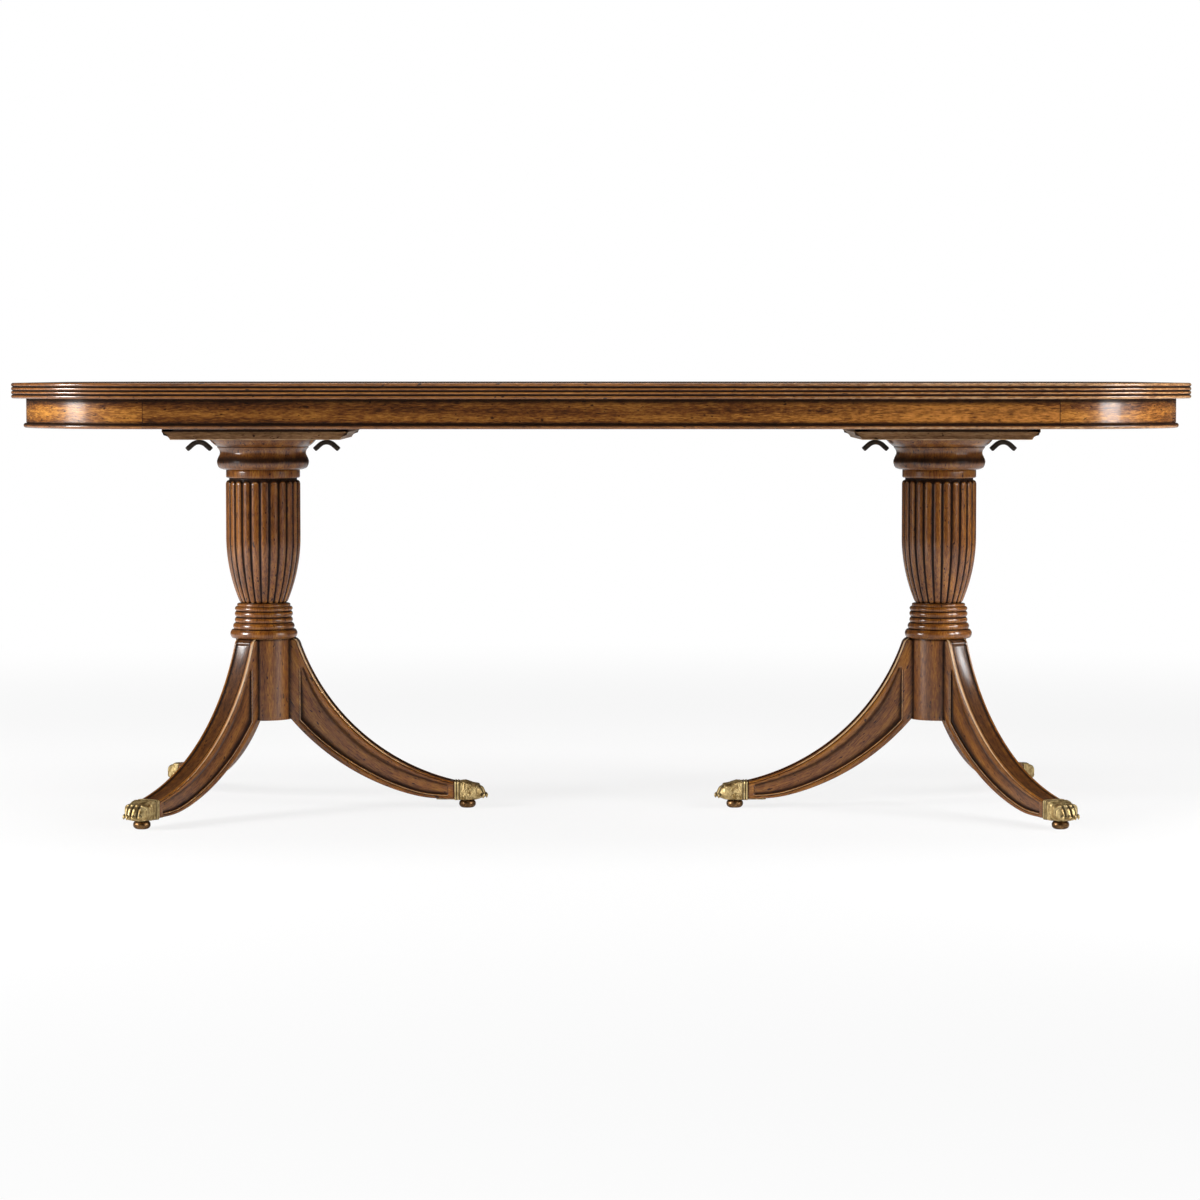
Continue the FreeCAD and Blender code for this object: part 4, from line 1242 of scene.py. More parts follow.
    def side_stops(self, near: np.ndarray, far: np.ndarray) -> np.ndarray:
        """Where the stretches of a side meet, as distances along each ray.

        In order they are the bead, the quirk under it, the upper border, the cove, the panel, the
        lower wall, a fillet, a fine groove and the lower border. Where there is no room for them
        all they close up, and each still keeps a sliver.

        Args:
            near: Distance to the top.
            far: Distance to the far side.

        Returns:
            Rows by ten stops.
        """
        centre, _, ray = self.rays()
        reach = centre[0] + self.upper_r * ray[:, 0]
        middle = smooth(self.head[0], 2 * self.head[0], reach)
        middle = middle * smooth(self.cuff[0], self.cuff[0] / 2, reach)
        margin = self.end_strip + (self.panel_margin - self.end_strip) * middle
        border = self.far_side(margin, self.root[0] + self.back_margin)
        start = near + self.bead_half
        cove = near + margin
        cove_end = cove + self.end_cove + (self.cove - self.end_cove) * middle
        stops = [start, start + 0.3 * MM, start + 1.8 * MM, cove, cove_end, border - self.wall]
        stops += [border, border + 1.4 * MM, border + 2.9 * MM, far - self.sole_round]
        sliver = 0.2 * MM * np.arange(len(stops))
        kept = np.maximum.accumulate(np.stack(stops, 1) - sliver, 1) + sliver
        return np.minimum(kept, stops[-1][:, None] - sliver[::-1])

    @staticmethod
    def hollow(stretch: Stretch, u: np.ndarray) -> np.ndarray:
        """Half a sine wave over one stretch of a side, and 0 elsewhere."""
        return np.where((u > stretch) & (u < stretch + 1), np.sin(math.pi * (u - stretch)), 0)

    def skin(self, seed: float) -> Skin:
        """The whole leg.

        Its columns go over the top, down one side, across the sole and up the other side. Down a
        side the column u lies in the stretch of its whole part. The surface is drawn in by the
        quirk's sine, and by the panel's depth times a smoothstep over the cove and another over the
        lower wall, fading out where the panel ends.

        Args:
            seed: Offset of the grain, so that legs differ.

        Returns:
            The skin, in the leg's own frame.
        """
        centre, angle, ray = self.rays()
        far = self.far_side(0, self.buried)
        near = np.full(self.rows, self.upper_r)
        stops = self.side_stops(near, far)
        parts = [np.arange(count) / count + stretch for stretch, count in enumerate(self.side_steps)]
        u = np.concatenate([*parts, [float(Stretch.SOLE)]])
        whole = np.minimum(u.astype(int), int(Stretch.LOWER_BORDER))
        side = stops[:, whole] + (u - whole) * (stops[:, whole + 1] - stops[:, whole])
        panel = stops[:, Stretch.WALL] - stops[:, Stretch.PANEL]
        room = smooth(0, 2.5 * MM, panel)[:, None]
        reach_side = centre[0] + side * ray[:, :1]
        ended = room * smooth(0, 3 * MM, self.cuff[0] - self.end_margin - reach_side)
        sunk = smooth(Stretch.COVE, Stretch.PANEL, u) * (1 - smooth(Stretch.WALL, Stretch.FILLET, u))
        quirk = self.hollow(Stretch.QUIRK, u)
        groove = self.hollow(Stretch.GROOVE, u)
        half = self.half - self.panel_depth * sunk * ended - self.quirk * (quirk + groove * ended)
        across_top = np.broadcast_to(self.top_columns(), (self.rows, len(self.top_columns())))
        crown = centre + self.upper_r * ray
        top = near[:, None] + self.top_depth(across_top, crown[:, :1], crown[:, 1:])
        ease = np.linspace(0, math.pi / 2, 4)[1:]
        turn_in = self.half - self.sole_round * (1 - np.cos(ease))
        turn_up = self.sole_round * (1 - np.sin(ease))
        sole = far[:, None] - np.concatenate([turn_up, [0.0], turn_up[::-1]])
        across_sole = np.broadcast_to(np.concatenate([turn_in, [0.0], -turn_in[::-1]]), sole.shape)
        distance = np.concatenate([top, side[:, 1:], sole, side[:, :0:-1]], 1)
        across = np.concatenate([across_top, half[:, 1:], across_sole, -half[:, :0:-1]], 1)
        below = distance - near[:, None]
        reach = centre[0] + distance * ray[:, :1]
        level = centre[1] + distance * ray[:, 1:]
        lifted = np.clip((level - self.head[1] + self.head_round) / self.head_round, 0, 1)
        reach = reach - self.head_round * (1 - np.sqrt(1 - lifted**2)) * smooth(15 * MM, 0, below)
        along = np.broadcast_to((angle * self.upper_r)[:, None], distance.shape)
        grain = np.stack([along + seed, below + seed, across + seed], -1)
        # Painted shade in the panel's cove, on its lower wall and in the fine groove.
        wall_shade = 0.68 * bump(Stretch.COVE + 0.65, 0.65, u) + 1.2 * bump(Stretch.WALL + 0.2, 0.42, u)
        wall_shade = wall_shade + bump(Stretch.GROOVE + 0.5, 0.45, u)
        # Painted shade on the panel's end wall near the cuff.
        end_wall_shade = 3.6 * sunk * ended * (room - ended)
        # Painted shade in the quirk under the bead, with the panel's walls.
        side_shade = 0.9 * bump(Stretch.QUIRK + 0.5, 0.45, u) + np.maximum(wall_shade * ended, end_wall_shade)
        # Painted highlight: pale lines on the bead's side and on the fillet by the panel.
        side_highlight = bump(Stretch.BEAD + 0.3, 0.6, u) + 0.95 * bump(Stretch.FILLET + 0.4, 0.5, u) * ended
        wide = np.abs(across_top)
        # Painted shade: the flute is darker all over, and darkest beside its walls.
        flute_shade = bump(self.flute_half - 0.6 * MM, 1.5 * MM, wide) + 0.55 * (wide < self.flute_half)
        onward = smooth(self.head[0], self.cuff[0], reach[:, :1])
        # Painted highlight along the beads, strongest near the head and fading towards the cuff.
        bead_highlight = (1.4 - 1.0 * onward) * bump(self.half - 0.8 * MM * (1 - 1.6 * onward), 1.4 * MM, wide)
        bare = np.zeros_like(sole)
        glaze = np.concatenate([flute_shade, side_shade[:, 1:], bare, side_shade[:, :0:-1]], 1)
        wear = np.concatenate([bead_highlight, side_highlight[:, 1:], bare + 0.3, side_highlight[:, :0:-1]], 1)
        # Painted shade where the leg meets the paw cap and the drum, and under the ring over its head.
        glaze = np.maximum(glaze, 0.9 * bump(self.cuff[0], 3 * MM, np.minimum(reach, self.cuff[0])))
        glaze = np.maximum(glaze, 0.85 * smooth(self.root[0] + 5 * MM, self.root[0] - 3 * MM, reach))
        glaze = np.maximum(glaze, 0.9 * smooth(self.head[1] - 7 * MM, self.head[1], level))
        return Skin(np.stack([reach, across, level], -1), grain, np.clip(glaze, 0, 1), wear)


@dataclass
class PawCap:
    """A cast paw cap: a square cuff of two bands, a furred paw, four toes with claws, a tongue.

    Attributes:
        start: Reach of the cuff's back.
        length: From the cuff's back to the tip of the claws.
        sole_z, top_z: Levels of the cuff's bottom and top.
        cuff_half: Half the width of the cuff.
        cuff_length: Length of the two bands.
        toes, toe_pitch: Number of toes, and the distance from one to the next.
        outer_toe_back: How much shorter the outer toes are.
        body_length: From the cuff's back to the front of the toe pads.
        swell: How much the paw widens from the cuff to the toes.
        cleft, crease: Depth between the toes and behind the claws.
        fur: Height of the fur.
        claw_r: Radius of a claw where it leaves its toe.
        tongue_length, tongue_half, tongue_thick: Length, half width and thickness of the tongue.
        columns: Steps round the paw.
    """

    start: float = 341.5 * MM
    length: float = 59 * MM
    sole_z: float = 14.5 * MM
    top_z: float = 48.7 * MM
    cuff_half: float = 21.2 * MM
    cuff_length: float = 7.5 * MM
    toes: int = 4
    toe_pitch: float = 11 * MM
    outer_toe_back: float = 6.5 * MM
    body_length: float = 56.5 * MM
    swell: float = 2.4 * MM
    cleft: float = 4.2 * MM
    crease: float = 0.8 * MM
    fur: float = 0.6 * MM
    claw_r: float = 3.1 * MM
    tongue_length: float = 33.5 * MM
    tongue_half: float = 7 * MM
    tongue_thick: float = 2.5 * MM
    columns: int = 168

    @property
    def outer_toe(self) -> float:
        """Distance of the outer toes from the middle."""
        return (self.toes - 1) / 2 * self.toe_pitch

    def cuff_and_paw(self) -> Skin:
        """The cuff and the paw as one tube of rounded-square sections.

        At the angle a round a section, the point lies at 1 over the n-th root of the n-th powers of
        cos a and sin a, so n sets how square it is. The toes are parted by clefts of the absolute
        sine of the distance across, the knuckles and pads are bells along the paw, and the fur is a
        product of two warped sines. These stand out along the section's normal.

        Returns:
            The skin, in the leg's own frame.
        """
        band = self.cuff_length
        cuff_rows = [0, 0.05, 0.12, 0.3, 0.36, 0.42, 0.48, 0.58, 0.64, 0.7, 0.88, 0.95, 1.0]
        cuff_inset = np.array([0.8, 0.2, 0, 0, 0.2, 1.0, 1.2, 1.2, 1.0, 0.2, 0, 0.2, 1.2]) * MM
        body = band + (self.body_length - band) * np.sin(np.linspace(0, math.pi / 2, 92))[1:]
        along = np.concatenate([np.array(cuff_rows) * band, body])
        share = np.clip((along - band) / (self.body_length - band), 0, 1)
        rounding = np.sqrt(np.clip(1 - np.clip((share - 0.72) / 0.28, 0, 1) ** 2, 0, 1))
        front = np.sqrt(np.clip(1 - np.clip((share - 0.88) / 0.12, 0, 1) ** 2, 0, 1))
        fading = cuff_inset[-1] * smooth(0.3, 0, share[len(cuff_inset):])
        inset = np.concatenate([cuff_inset, fading])
        swell = self.swell * smooth(0, 0.55, share)
        half = (self.cuff_half - inset + swell) * (0.35 + 0.65 * rounding)
        fall = 6 * smooth(15 * MM, 44 * MM, along) + 4.5 * smooth(43 * MM, 49 * MM, along)
        fall = fall + 7 * smooth(47 * MM, 58 * MM, along)
        crown = self.top_z - inset - fall * MM
        sole = self.sole_z + np.minimum(inset, 0.3 * MM) + 5 * MM * smooth(0.6, 1, share)
        middle = (crown + sole) / 2
        rise = (crown - sole) / 2 * front
        middle = middle - 2 * MM * smooth(0.85, 1, share)
        angle = np.arange(self.columns) * FULL_TURN / self.columns
        power = np.where(along <= band, 14.0, 14 - 10.4 * smooth(0, 0.45, share))[:, None]
        reach = (np.abs(np.cos(angle)) ** power + np.abs(np.sin(angle)) ** power) ** (-1 / power)
        across = half[:, None] * np.cos(angle) * reach
        level = middle[:, None] + rise[:, None] * np.sin(angle) * reach
        forward = np.broadcast_to(along[:, None], across.shape)
        base = np.stack([forward, across, level], -1)
        normal = np.cross(np.gradient(base, axis=0), np.roll(base, -1, 1) - np.roll(base, 1, 1))
        size = np.linalg.norm(normal, axis=-1, keepdims=True)
        normal = normal / np.maximum(size, NO_LENGTH)
        facing = np.sign((normal * (base - base.mean(1, keepdims=True))).sum(-1, keepdims=True).mean())
        normal = normal * facing
        grown = share[:, None]
        wide = np.minimum(np.abs(across), self.outer_toe)
        lobe = np.abs(np.sin(math.pi * wide / self.toe_pitch)) ** 0.32
        upper = smooth(-0.5, 0.1, np.sin(angle))[None]
        toes = smooth(0.48, 0.8, grown) * np.maximum(upper, 0.35)
        cleft = -self.cleft * (1 - lobe) * toes
        knuckle = lobe * upper * (1.1 * bump(0.66, 0.09, grown) + 0.5 * bump(0.88, 0.07, grown)) * MM
        crease = -self.crease * upper * bump(0.79, 0.03, grown)
        warp = 0.7 * np.sin(7 * angle + 140 * forward)
        curls = np.sin(1150 * forward + 2.2 * np.sin(11 * angle))
        curls = curls * np.sin(23 * angle + 2 * warp + 260 * forward)
        fur = self.fur * curls * smooth(0.02, 0.1, grown) * smooth(0.72, 0.42, grown)
        raised = cleft + knuckle + crease + fur
        points = base + normal * raised[..., None]
        pull = self.outer_toe_back * (across / self.outer_toe) ** 2 + 2.2 * MM * (1 - lobe)
        points[..., 0] += self.start - pull * smooth(0.55, 1, grown)
        bands = np.concatenate([cuff_inset, np.zeros(len(body))])[:, None]
        glaze = np.clip(-(cleft + crease) / (1.7 * MM) + np.clip(-fur, 0, 1) / (1.3 * MM), 0, 1)
        glaze = np.maximum(glaze, np.broadcast_to(np.clip(bands / (1.6 * MM), 0, 1), glaze.shape))
        glaze = np.maximum(glaze, 0.7 * bump(0.02, 0.03, grown) * (grown > 0))
        wear = np.clip((knuckle + np.maximum(fur, 0)) / (1.2 * MM), 0, 1)
        wear = np.maximum(wear, np.where(forward < band, np.clip(1 - bands / (0.4 * MM), 0, 1), 0))
        return Skin(points, points, glaze, wear)

    def claw(self, across: float) -> Skin:
        """One claw: a blunt round section along a curve forwards and down.

        Along the share t, the curve goes from the toe to the tip as a power of 1 - t, and the
        radius falls with t, then closes with the square root of 1 less the fourth power of t.

        Args:
            across: Distance of the toe from the middle.

        Returns:
            The skin, in the leg's own frame.
        """
        share = np.linspace(0, 1, 12)
        shorter = self.outer_toe_back * (across / self.outer_toe) ** 2
        tip = self.start + self.length - shorter
        forward = tip - 4.4 * MM * (1 - share) ** 1.6 - 1.6 * MM * share**3
        level = self.sole_z + 3.4 * MM + 6.5 * MM * (1 - share**1.7)
        radius = self.claw_r * (1 - 0.3 * share) * np.sqrt(1.01 - share**4)
        angle = np.arange(14) * FULL_TURN / 14
        slope = np.stack([np.gradient(forward), np.gradient(level)], 1)
        slope = slope / np.linalg.norm(slope, axis=1, keepdims=True)
        up = np.stack([-slope[:, 1], slope[:, 0]], 1)
        ring = radius[:, None] * np.sin(angle)
        points = np.stack([
            forward[:, None] + ring * up[:, :1],
            across + radius[:, None] * np.cos(angle),
            level[:, None] + ring * up[:, 1:],
        ], -1)
        made = plain(points)
        made.wear = np.broadcast_to((0.4 * share)[:, None], points.shape[:2])
        made.glaze = np.broadcast_to(bump(0, 0.4, share)[:, None], points.shape[:2])
        return made

    def tongue(self) -> Skin:
        """The tongue under the leg: a strip with a round end.

        Returns:
            The skin.
        """
        back = self.start - self.tongue_length + self.tongue_half
        line = Outline(back, -self.tongue_half).line(self.start + 2 * MM, -self.tongue_half, 4)
        line.line(self.start + 2 * MM, self.tongue_half).line(back, self.tongue_half, 4)
        line.bow(back, -self.tongue_half, self.tongue_half, 16)
        return extruded(line.points()[:-1], self.sole_z, self.sole_z + self.tongue_thick, 0.5 * MM)

    def skins(self) -> list[Skin]:
        """Everything that the cap is cast with."""
        places = [(number - (self.toes - 1) / 2) * self.toe_pitch for number in range(self.toes)]
        return [self.cuff_and_paw(), self.tongue(), *[self.claw(across) for across in places]]


@dataclass
class WingNut:
    """A wing nut bent from flat bar, with a bore for the stud, and its washer.

    Attributes:
        washer_z: Level of the washer's underside, where the arch of the nut touches.
        bearer_z: Level of the bearer board's underside.
        thick, width: Section of the bar.
        bend_r, half_bend: Radius of the arch in the middle of the bar, and half its angle.
        arm: Length of the straight end past the arch.
        soft: Rounding of the bar's arrises.
        squareness: Power of the bar's outline, seen flat.
        bore_r: Radius of the bore.
        washer_r, hole_r: Radii of the washer.
        fuller: How much the bar swells on the inside of the arch.
        play: Gap between nut and washer, so that neither cuts the other as the nut turns.
        columns: Steps round the bore.
    """

    washer_z: float
    bearer_z: float
    thick: float = 7.3 * MM
    width: float = 15 * MM
    bend_r: float = 19 * MM
    half_bend: float = math.radians(42)
    arm: float = 12.8 * MM
    soft: float = 1.6 * MM
    squareness: float = 9.0
    bore_r: float = 4.06 * MM
    washer_r: float = 15 * MM
    hole_r: float = 4.5 * MM
    fuller: float = 1.3
    play: float = 0.05 * MM
    columns: int = 120

    def strap(self) -> Skin:
        """The bent bar as a ring round its bore.

        On the flat, each line runs from the bore's circle to the bar's outline, a rounded rectangle
        of high power. A point at the distance s along the bar and n out from its middle layer is
        then bent round the arch: at the angle s over the bend radius, or straight on past its ends.

        Returns:
            The skin, about the stud's axis.
        """
        angle = np.arange(self.columns) * FULL_TURN / self.columns
        flat_half = self.bend_r * self.half_bend + self.arm
        power = self.squareness
        cos, sin = np.cos(angle), np.sin(angle)
        slant = (np.abs(cos) ** power + np.abs(sin) ** power) ** (-1 / power)
        outline = np.stack([flat_half * cos * slant, self.width / 2 * sin * slant], 1)
        bore = self.bore_r * np.stack([cos, sin], 1)
        rim = np.linspace(0, math.pi / 2, 5)
        lift, soft = self.thick / 2, self.soft
        down = np.concatenate([np.full(6, -lift), -lift + soft * (1 - np.cos(rim)), [0.0]])
        up = -down[::-1][1:]
        going = np.concatenate([np.linspace(0, 0.9, 6), np.full(6, 1.0)])
        share = np.concatenate([going, going[::-1][1:]])
        layer = np.concatenate([down, up])
        inset = np.concatenate([np.zeros(6), soft * (1 - np.sin(rim)), [0.0]])
        inset = np.concatenate([inset, inset[::-1][1:]])
        drawn = outline[None] * (1 - inset[:, None, None] / np.array([flat_half, self.width / 2]))
        flat = bore[None] + share[:, None, None] * (drawn - bore[None])
        run, side = flat[..., 0], flat[..., 1]
        bent = np.clip(run / self.bend_r, -self.half_bend, self.half_bend)
        past = run - bent * self.bend_r
        layer = np.where(layer < 0, layer * self.fuller, layer)
        radius = self.bend_r + layer[:, None]
        level = self.washer_z - self.play - lift - self.bend_r
        x = radius * np.sin(bent) + past * np.cos(bent)
        z = level + radius * np.cos(bent) - past * np.sin(bent)
        z = np.minimum(z, self.washer_z - self.play)
        made = plain(np.stack([x, side, z], -1), looped=True)
        worn_and_lit = 0.8 * bump(0.5 * soft, soft, inset) * (share == 1)
        made.wear = np.broadcast_to(worn_and_lit[:, None], x.shape)
        return made

    def washer(self) -> Skin:
        """The washer: a ring of a rounded rectangular section.

        Returns:
            The skin.
        """
        line = Outline(self.hole_r, self.washer_z).line(self.washer_r, self.washer_z, 3)
        line.line(self.washer_r, self.bearer_z).line(self.hole_r, self.bearer_z, 3)
        return turned(line.points(0.5 * MM, True), 72, True)


@dataclass
class Pedestal:
    """One pedestal: bearer board, capital, reeded column, drum, three legs on paws, two nuts.

    Attributes:
        name: left or right.
        side: -1 for the left, 1 for the right, which is a mirror image.
        offset: Distance of its axis from the middle of the table.
        bearer: Lowest and highest corner of the bearer board.
        capital: Lowest and highest corner of the capital.
        drum: Lowest and highest corner of the drum.
        leg_angles: Angle of each leg from the inward one, in degrees.
        cove_r: Size of the coves under the ends of the bearer board.
        bearer_shade: Height on the bearer board above which it carries a painted shadow, under the
            apron's bead.
        lip_r, arris_r, neck_r, bead_r, bead_foot_r: Radii of the capital, from its lip down.
        arris_drop: From the top of the capital down to its arris.
        collar_r, collar_height: Size of the collar under the capital.
        quirk_r, quirk_height: Size of the groove under the collar.
        vase_r, vase_foot_r: Radii of the vase over its reeds, at the top and at the foot.
        vase_foot_z, vase_taper: Level of the vase's foot, and the height over which it is drawn in.
        reeds, reed_depth, reed_steps: Number of reeds, their depth and the steps across each.
        rings: Radius and height of each ring in millimetres, from the lowest up.
        ring_rise: How far a ring stands out, in millimetres.
        stud_offset, glide_reach: From the axis to the studs and to the glides.
    """

    name: str
    side: int
    offset: float
    bearer: tuple[Vector, Vector]
    capital: tuple[Vector, Vector]
    drum: tuple[Vector, Vector]
    leg_angles: dict[str, float] = field(default_factory=LEG_ANGLES.copy)
    cove_r: float = 14.5 * MM
    bearer_shade: float = 15 * MM
    lip_r: float = 95.5 * MM
    arris_r: float = 82.5 * MM
    arris_drop: float = 15.5 * MM
    neck_r: float = 76.3 * MM
    bead_r: float = 82 * MM
    bead_foot_r: float = 71 * MM
    collar_r: float = 65.7 * MM
    collar_height: float = 15 * MM
    quirk_r: float = 60.5 * MM
    quirk_height: float = 4 * MM
    vase_r: float = 66.3 * MM
    vase_foot_r: float = 43 * MM
    vase_foot_z: float = 370.9 * MM
    vase_taper: float = 116 * MM
    reeds: int = 24
    reed_depth: float = 5.4 * MM
    reed_steps: int = 16
    rings: tuple[tuple[float, float], ...] = (
        (59.8, 14.9), (54.8, 11.8), (51.8, 10.6), (51.8, 10.8), (51.5, 8.2), (47.6, 5.4))
    ring_rise: float = 3.2
    stud_offset: float = 114 * MM
    glide_reach: float = 364 * MM

    @classmethod
    def from_frame(cls, name: str) -> "Pedestal":
        """Take the axis and the levels from the frame.

        Args:
            name: Side of the table that it stands on.

        Returns:
            The pedestal, with its other sizes as they stand.
        """
        boxes = {part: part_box(f"{name}_{part}") for part in ("bearer_board", "capital", "drum")}
        axis = (boxes["drum"][0].x + boxes["drum"][1].x) / 2
        return cls(name, -1 if axis < 0 else 1, abs(axis), *boxes.values())

    def seed(self, number: int) -> float:
        """A different offset of the grain for each piece of each pedestal."""
        return 0.173 * number + 0.41 * (self.side + 1)

    def set_up(self, skin: Skin, degrees: float = 0.0, x: float = 0.0) -> Skin:
        """Move a skin from its own frame to its place on this pedestal.

        It is turned about the axis, or moved along X, then mirrored on the right pedestal, then
        moved out to the pedestal's axis.

        Args:
            skin: The skin, about the pedestal's axis.
            degrees: Angle of the leg that it belongs to.
            x: Distance along X, towards the middle of the table.

        Returns:
            The same skin with its points moved.
        """
        angle = math.radians(degrees)
        cos, sin = math.cos(angle), math.sin(angle)
        turn = np.array([[cos, sin, 0], [-sin, cos, 0], [0, 0, 1]])
        points = skin.points @ turn + np.array([x, 0, 0])
        skin.points = points * np.array([-self.side, 1, 1]) + np.array([self.side * self.offset, 0, 0])
        return skin

    def bearer_skin(self) -> Skin:
        """The bearer board: a section with a cove under each end, carried across the table.

        Its two end faces have two more outlines within them, squashed towards the foot, so that the
        painted shadow stays above the higher one and stops at the lower one.

        Returns:
            The skin.
        """
        low, high = self.bearer
        half, cove = (high.x - low.x) / 2, self.cove_r
        rise, hollow = 0.9 * cove, -0.12 * cove
        line = Outline(-half + cove, low.z).line(half - cove, low.z, 8)
        line.bow(half, low.z + rise, hollow, 8)
        line.line(half, high.z).line(-half, high.z, 8).line(-half, low.z + rise)
        line.bow(-half + cove, low.z, hollow, 8)
        made = extruded(line.points(0.8 * MM, True)[:-1], low.y, high.y, 1.2 * MM)
        points = made.points[..., [0, 2, 1]]
        foot = np.array([0, 0, low.z + 2 * MM])
        shaded = low.z + self.bearer_shade - np.array([0, 1.5 * MM])
        shrink = (shaded - foot[2]) / (points[0, :, 2].max() - foot[2])
        within = np.stack([np.full(2, 0.99), np.ones(2), shrink], 1)[:, None]
        faces = [(end - foot) * within + foot for end in (points[0], points[-1])]
        points = np.concatenate([faces[0][::-1], points, faces[1]])
        # Painted shadow along the top of the board, under the apron's bead.
        glaze = smooth(shaded[1], shaded[0], points[..., 2] + 0.4 * MM)
        wear = np.pad(made.wear, ((2, 2), (0, 0)))
        return Skin(points, points + self.seed(1), glaze, wear * (1 - glaze))

    def capital_skin(self) -> Skin:
        """The capital: a bead, a neck, a hollow and a slanted lip, turned.

        Returns:
            The skin.
        """
        foot, top = self.capital[0].z, self.capital[1].z
        arris = top - self.arris_drop
        swell = [
            (self.bead_foot_r + 7.5 * MM, foot + 3.5 * MM),
            (self.bead_r - 0.2 * MM, foot + 13 * MM),
            (self.bead_r - 2 * MM, foot + 20.5 * MM),
            (self.neck_r + 0.5 * MM, foot + 27.5 * MM),
            (self.neck_r + 1 * MM, arris - 6 * MM),
            (self.arris_r - 1 * MM, arris),
        ]
        line = Outline(20 * MM, foot).line(self.bead_foot_r, foot, 2).curve(swell, 7)
        line.line(self.arris_r - 1.6 * MM, arris + 0.6 * MM)
        line.line(self.arris_r - 0.6 * MM, arris + 1.6 * MM)
        line.bow(self.lip_r, top - 1.5 * MM, 0.9 * MM, 6).line(self.lip_r, top).line(20 * MM, top, 2)
        made = turned(line.points(0.5 * MM), 144)
        # Painted shade on the bead's upper half, which faces the dark underside of the table.
        shaded = 0.8 * bump(foot + 17 * MM, 8 * MM, made.points[..., 2])
        made.glaze = np.maximum(made.glaze, shaded)
        made.grain = made.grain + self.seed(2)
        return made

    def ring_line(self) -> np.ndarray:
        """Outline of the rings from the drum up to the neck: half rounds that step inwards.

        Returns:
            Radius and level of each point.
        """
        base = self.drum[1].z
        line = Outline(16 * MM, base).line(56 * MM, base, 2)
        level = base
        for radius, height in self.rings:
            valley = (radius - self.ring_rise) * MM
            pen = line.runs[-1][-1][0]
            line.line(min(pen, valley), level)
            line.line(valley, level)
            level += height * MM
            line.bow(valley, level, self.ring_rise * MM, 10)
        return line.line(self.vase_foot_r - self.reed_depth, level + 0.4 * MM, 2).points()

    def column_skin(self) -> Skin:
        """The column: rings, reeded vase and collar on one grid of heights and angles.

        The vase is a cylinder that an arc draws in towards its foot. A reed is an ellipse across: at
        the share t of its half width, and at the share e of the rounding at its end, it stands its
        depth times the square root of 1 - tt - ee out of the hollow.

        Returns:
            The skin.
        """
        rings = self.ring_line()
        capital_foot = self.capital[0].z
        collar_foot = capital_foot - self.collar_height
        vase_top = collar_foot - self.quirk_height
        half_pitch = self.vase_r * math.pi / self.reeds
        foot_z = rings[-1, 1] + 0.6 * MM
        dome = half_pitch * 0.85
        level = np.concatenate([
            np.linspace(foot_z, foot_z + 5 * MM, 9)[:-1],
            np.linspace(foot_z + 5 * MM, vase_top - dome, 64)[:-1],
            vase_top - dome * np.cos(np.linspace(0, math.pi / 2, 16)),
        ])
        fall = np.maximum(self.vase_foot_z + self.vase_taper - level, 0)
        draw_in = self.vase_r - self.vase_foot_r
        curve = (self.vase_taper**2 + draw_in**2) / (2 * draw_in)
        crest = self.vase_r - (curve - np.sqrt(curve**2 - fall**2))
        columns = self.reeds * self.reed_steps
        angle = (np.arange(columns) + 0.5) * FULL_TURN / columns
        share = np.abs((angle * self.reeds / FULL_TURN) % 1 - 0.5) * 2
        foot_round = 4 * MM
        end = np.maximum((level - vase_top + dome) / dome, 0)
        end = end + np.maximum((foot_z + foot_round - level) / foot_round, 0)
        full = 1 - share[None] ** 2.1 - end[:, None] ** 2
        stand = np.sqrt(np.clip(full, 0, 1))
        depth = self.reed_depth * crest / self.vase_r
        vase = crest[:, None] - depth[:, None] * (1 - stand)
        collar = Outline(self.quirk_r, vase_top + 0.2 * MM).line(self.quirk_r, collar_foot, 2)
        ease = 2.5 * MM
        collar.line(self.collar_r - ease, collar_foot)
        collar.bow(self.collar_r, collar_foot + ease, 0.73 * MM, 5)
        collar.line(self.collar_r, capital_foot - 0.4 * MM, 3).line(20 * MM, capital_foot - 0.3 * MM, 2)
        collar = collar.points()
        radius = np.concatenate([
            np.broadcast_to(rings[:, :1], (len(rings), columns)), vase,
            np.broadcast_to(collar[:, :1], (len(collar), columns)),
        ])
        height = np.concatenate([rings[:, 1], level, collar[:, 1]])
        height = np.broadcast_to(height[:, None], radius.shape)
        points = np.stack([radius * np.cos(angle), radius * np.sin(angle), height], -1)
        # Painted shade in the grooves between the reeds.
        groove = np.clip((0.88 - stand) / 0.34, 0, 1)
        crest_worn = 0.12 * smooth(0.9, 1.0, stand) * smooth(0, 0.6, 1 - end)[:, None]
        crest_worn = crest_worn + 0.6 * bump(0.45, 0.25, end)[:, None] * stand
        # Glaze and painted shade in the valleys between the rings, and painted shade in the quirk under
        # the collar.
        ring_glaze_and_shade, ring_wear = creases(rings, False, self.ring_rise * MM)
        collar_glaze_and_shade, collar_wear = creases(collar, False, 1.5 * MM)
        collar_glaze_and_shade[:3] = 1
        lines = (ring_glaze_and_shade, collar_glaze_and_shade, 0.15 * ring_wear, 0.4 * collar_wear)
        lines = [np.tile(values[:, None], (1, columns)) for values in lines]
        glaze = np.concatenate([lines[0], groove, lines[1]])
        wear = np.concatenate([lines[2], crest_worn, lines[3]])
        return Skin(points, points[..., [2, 0, 1]] + self.seed(3), glaze, wear)

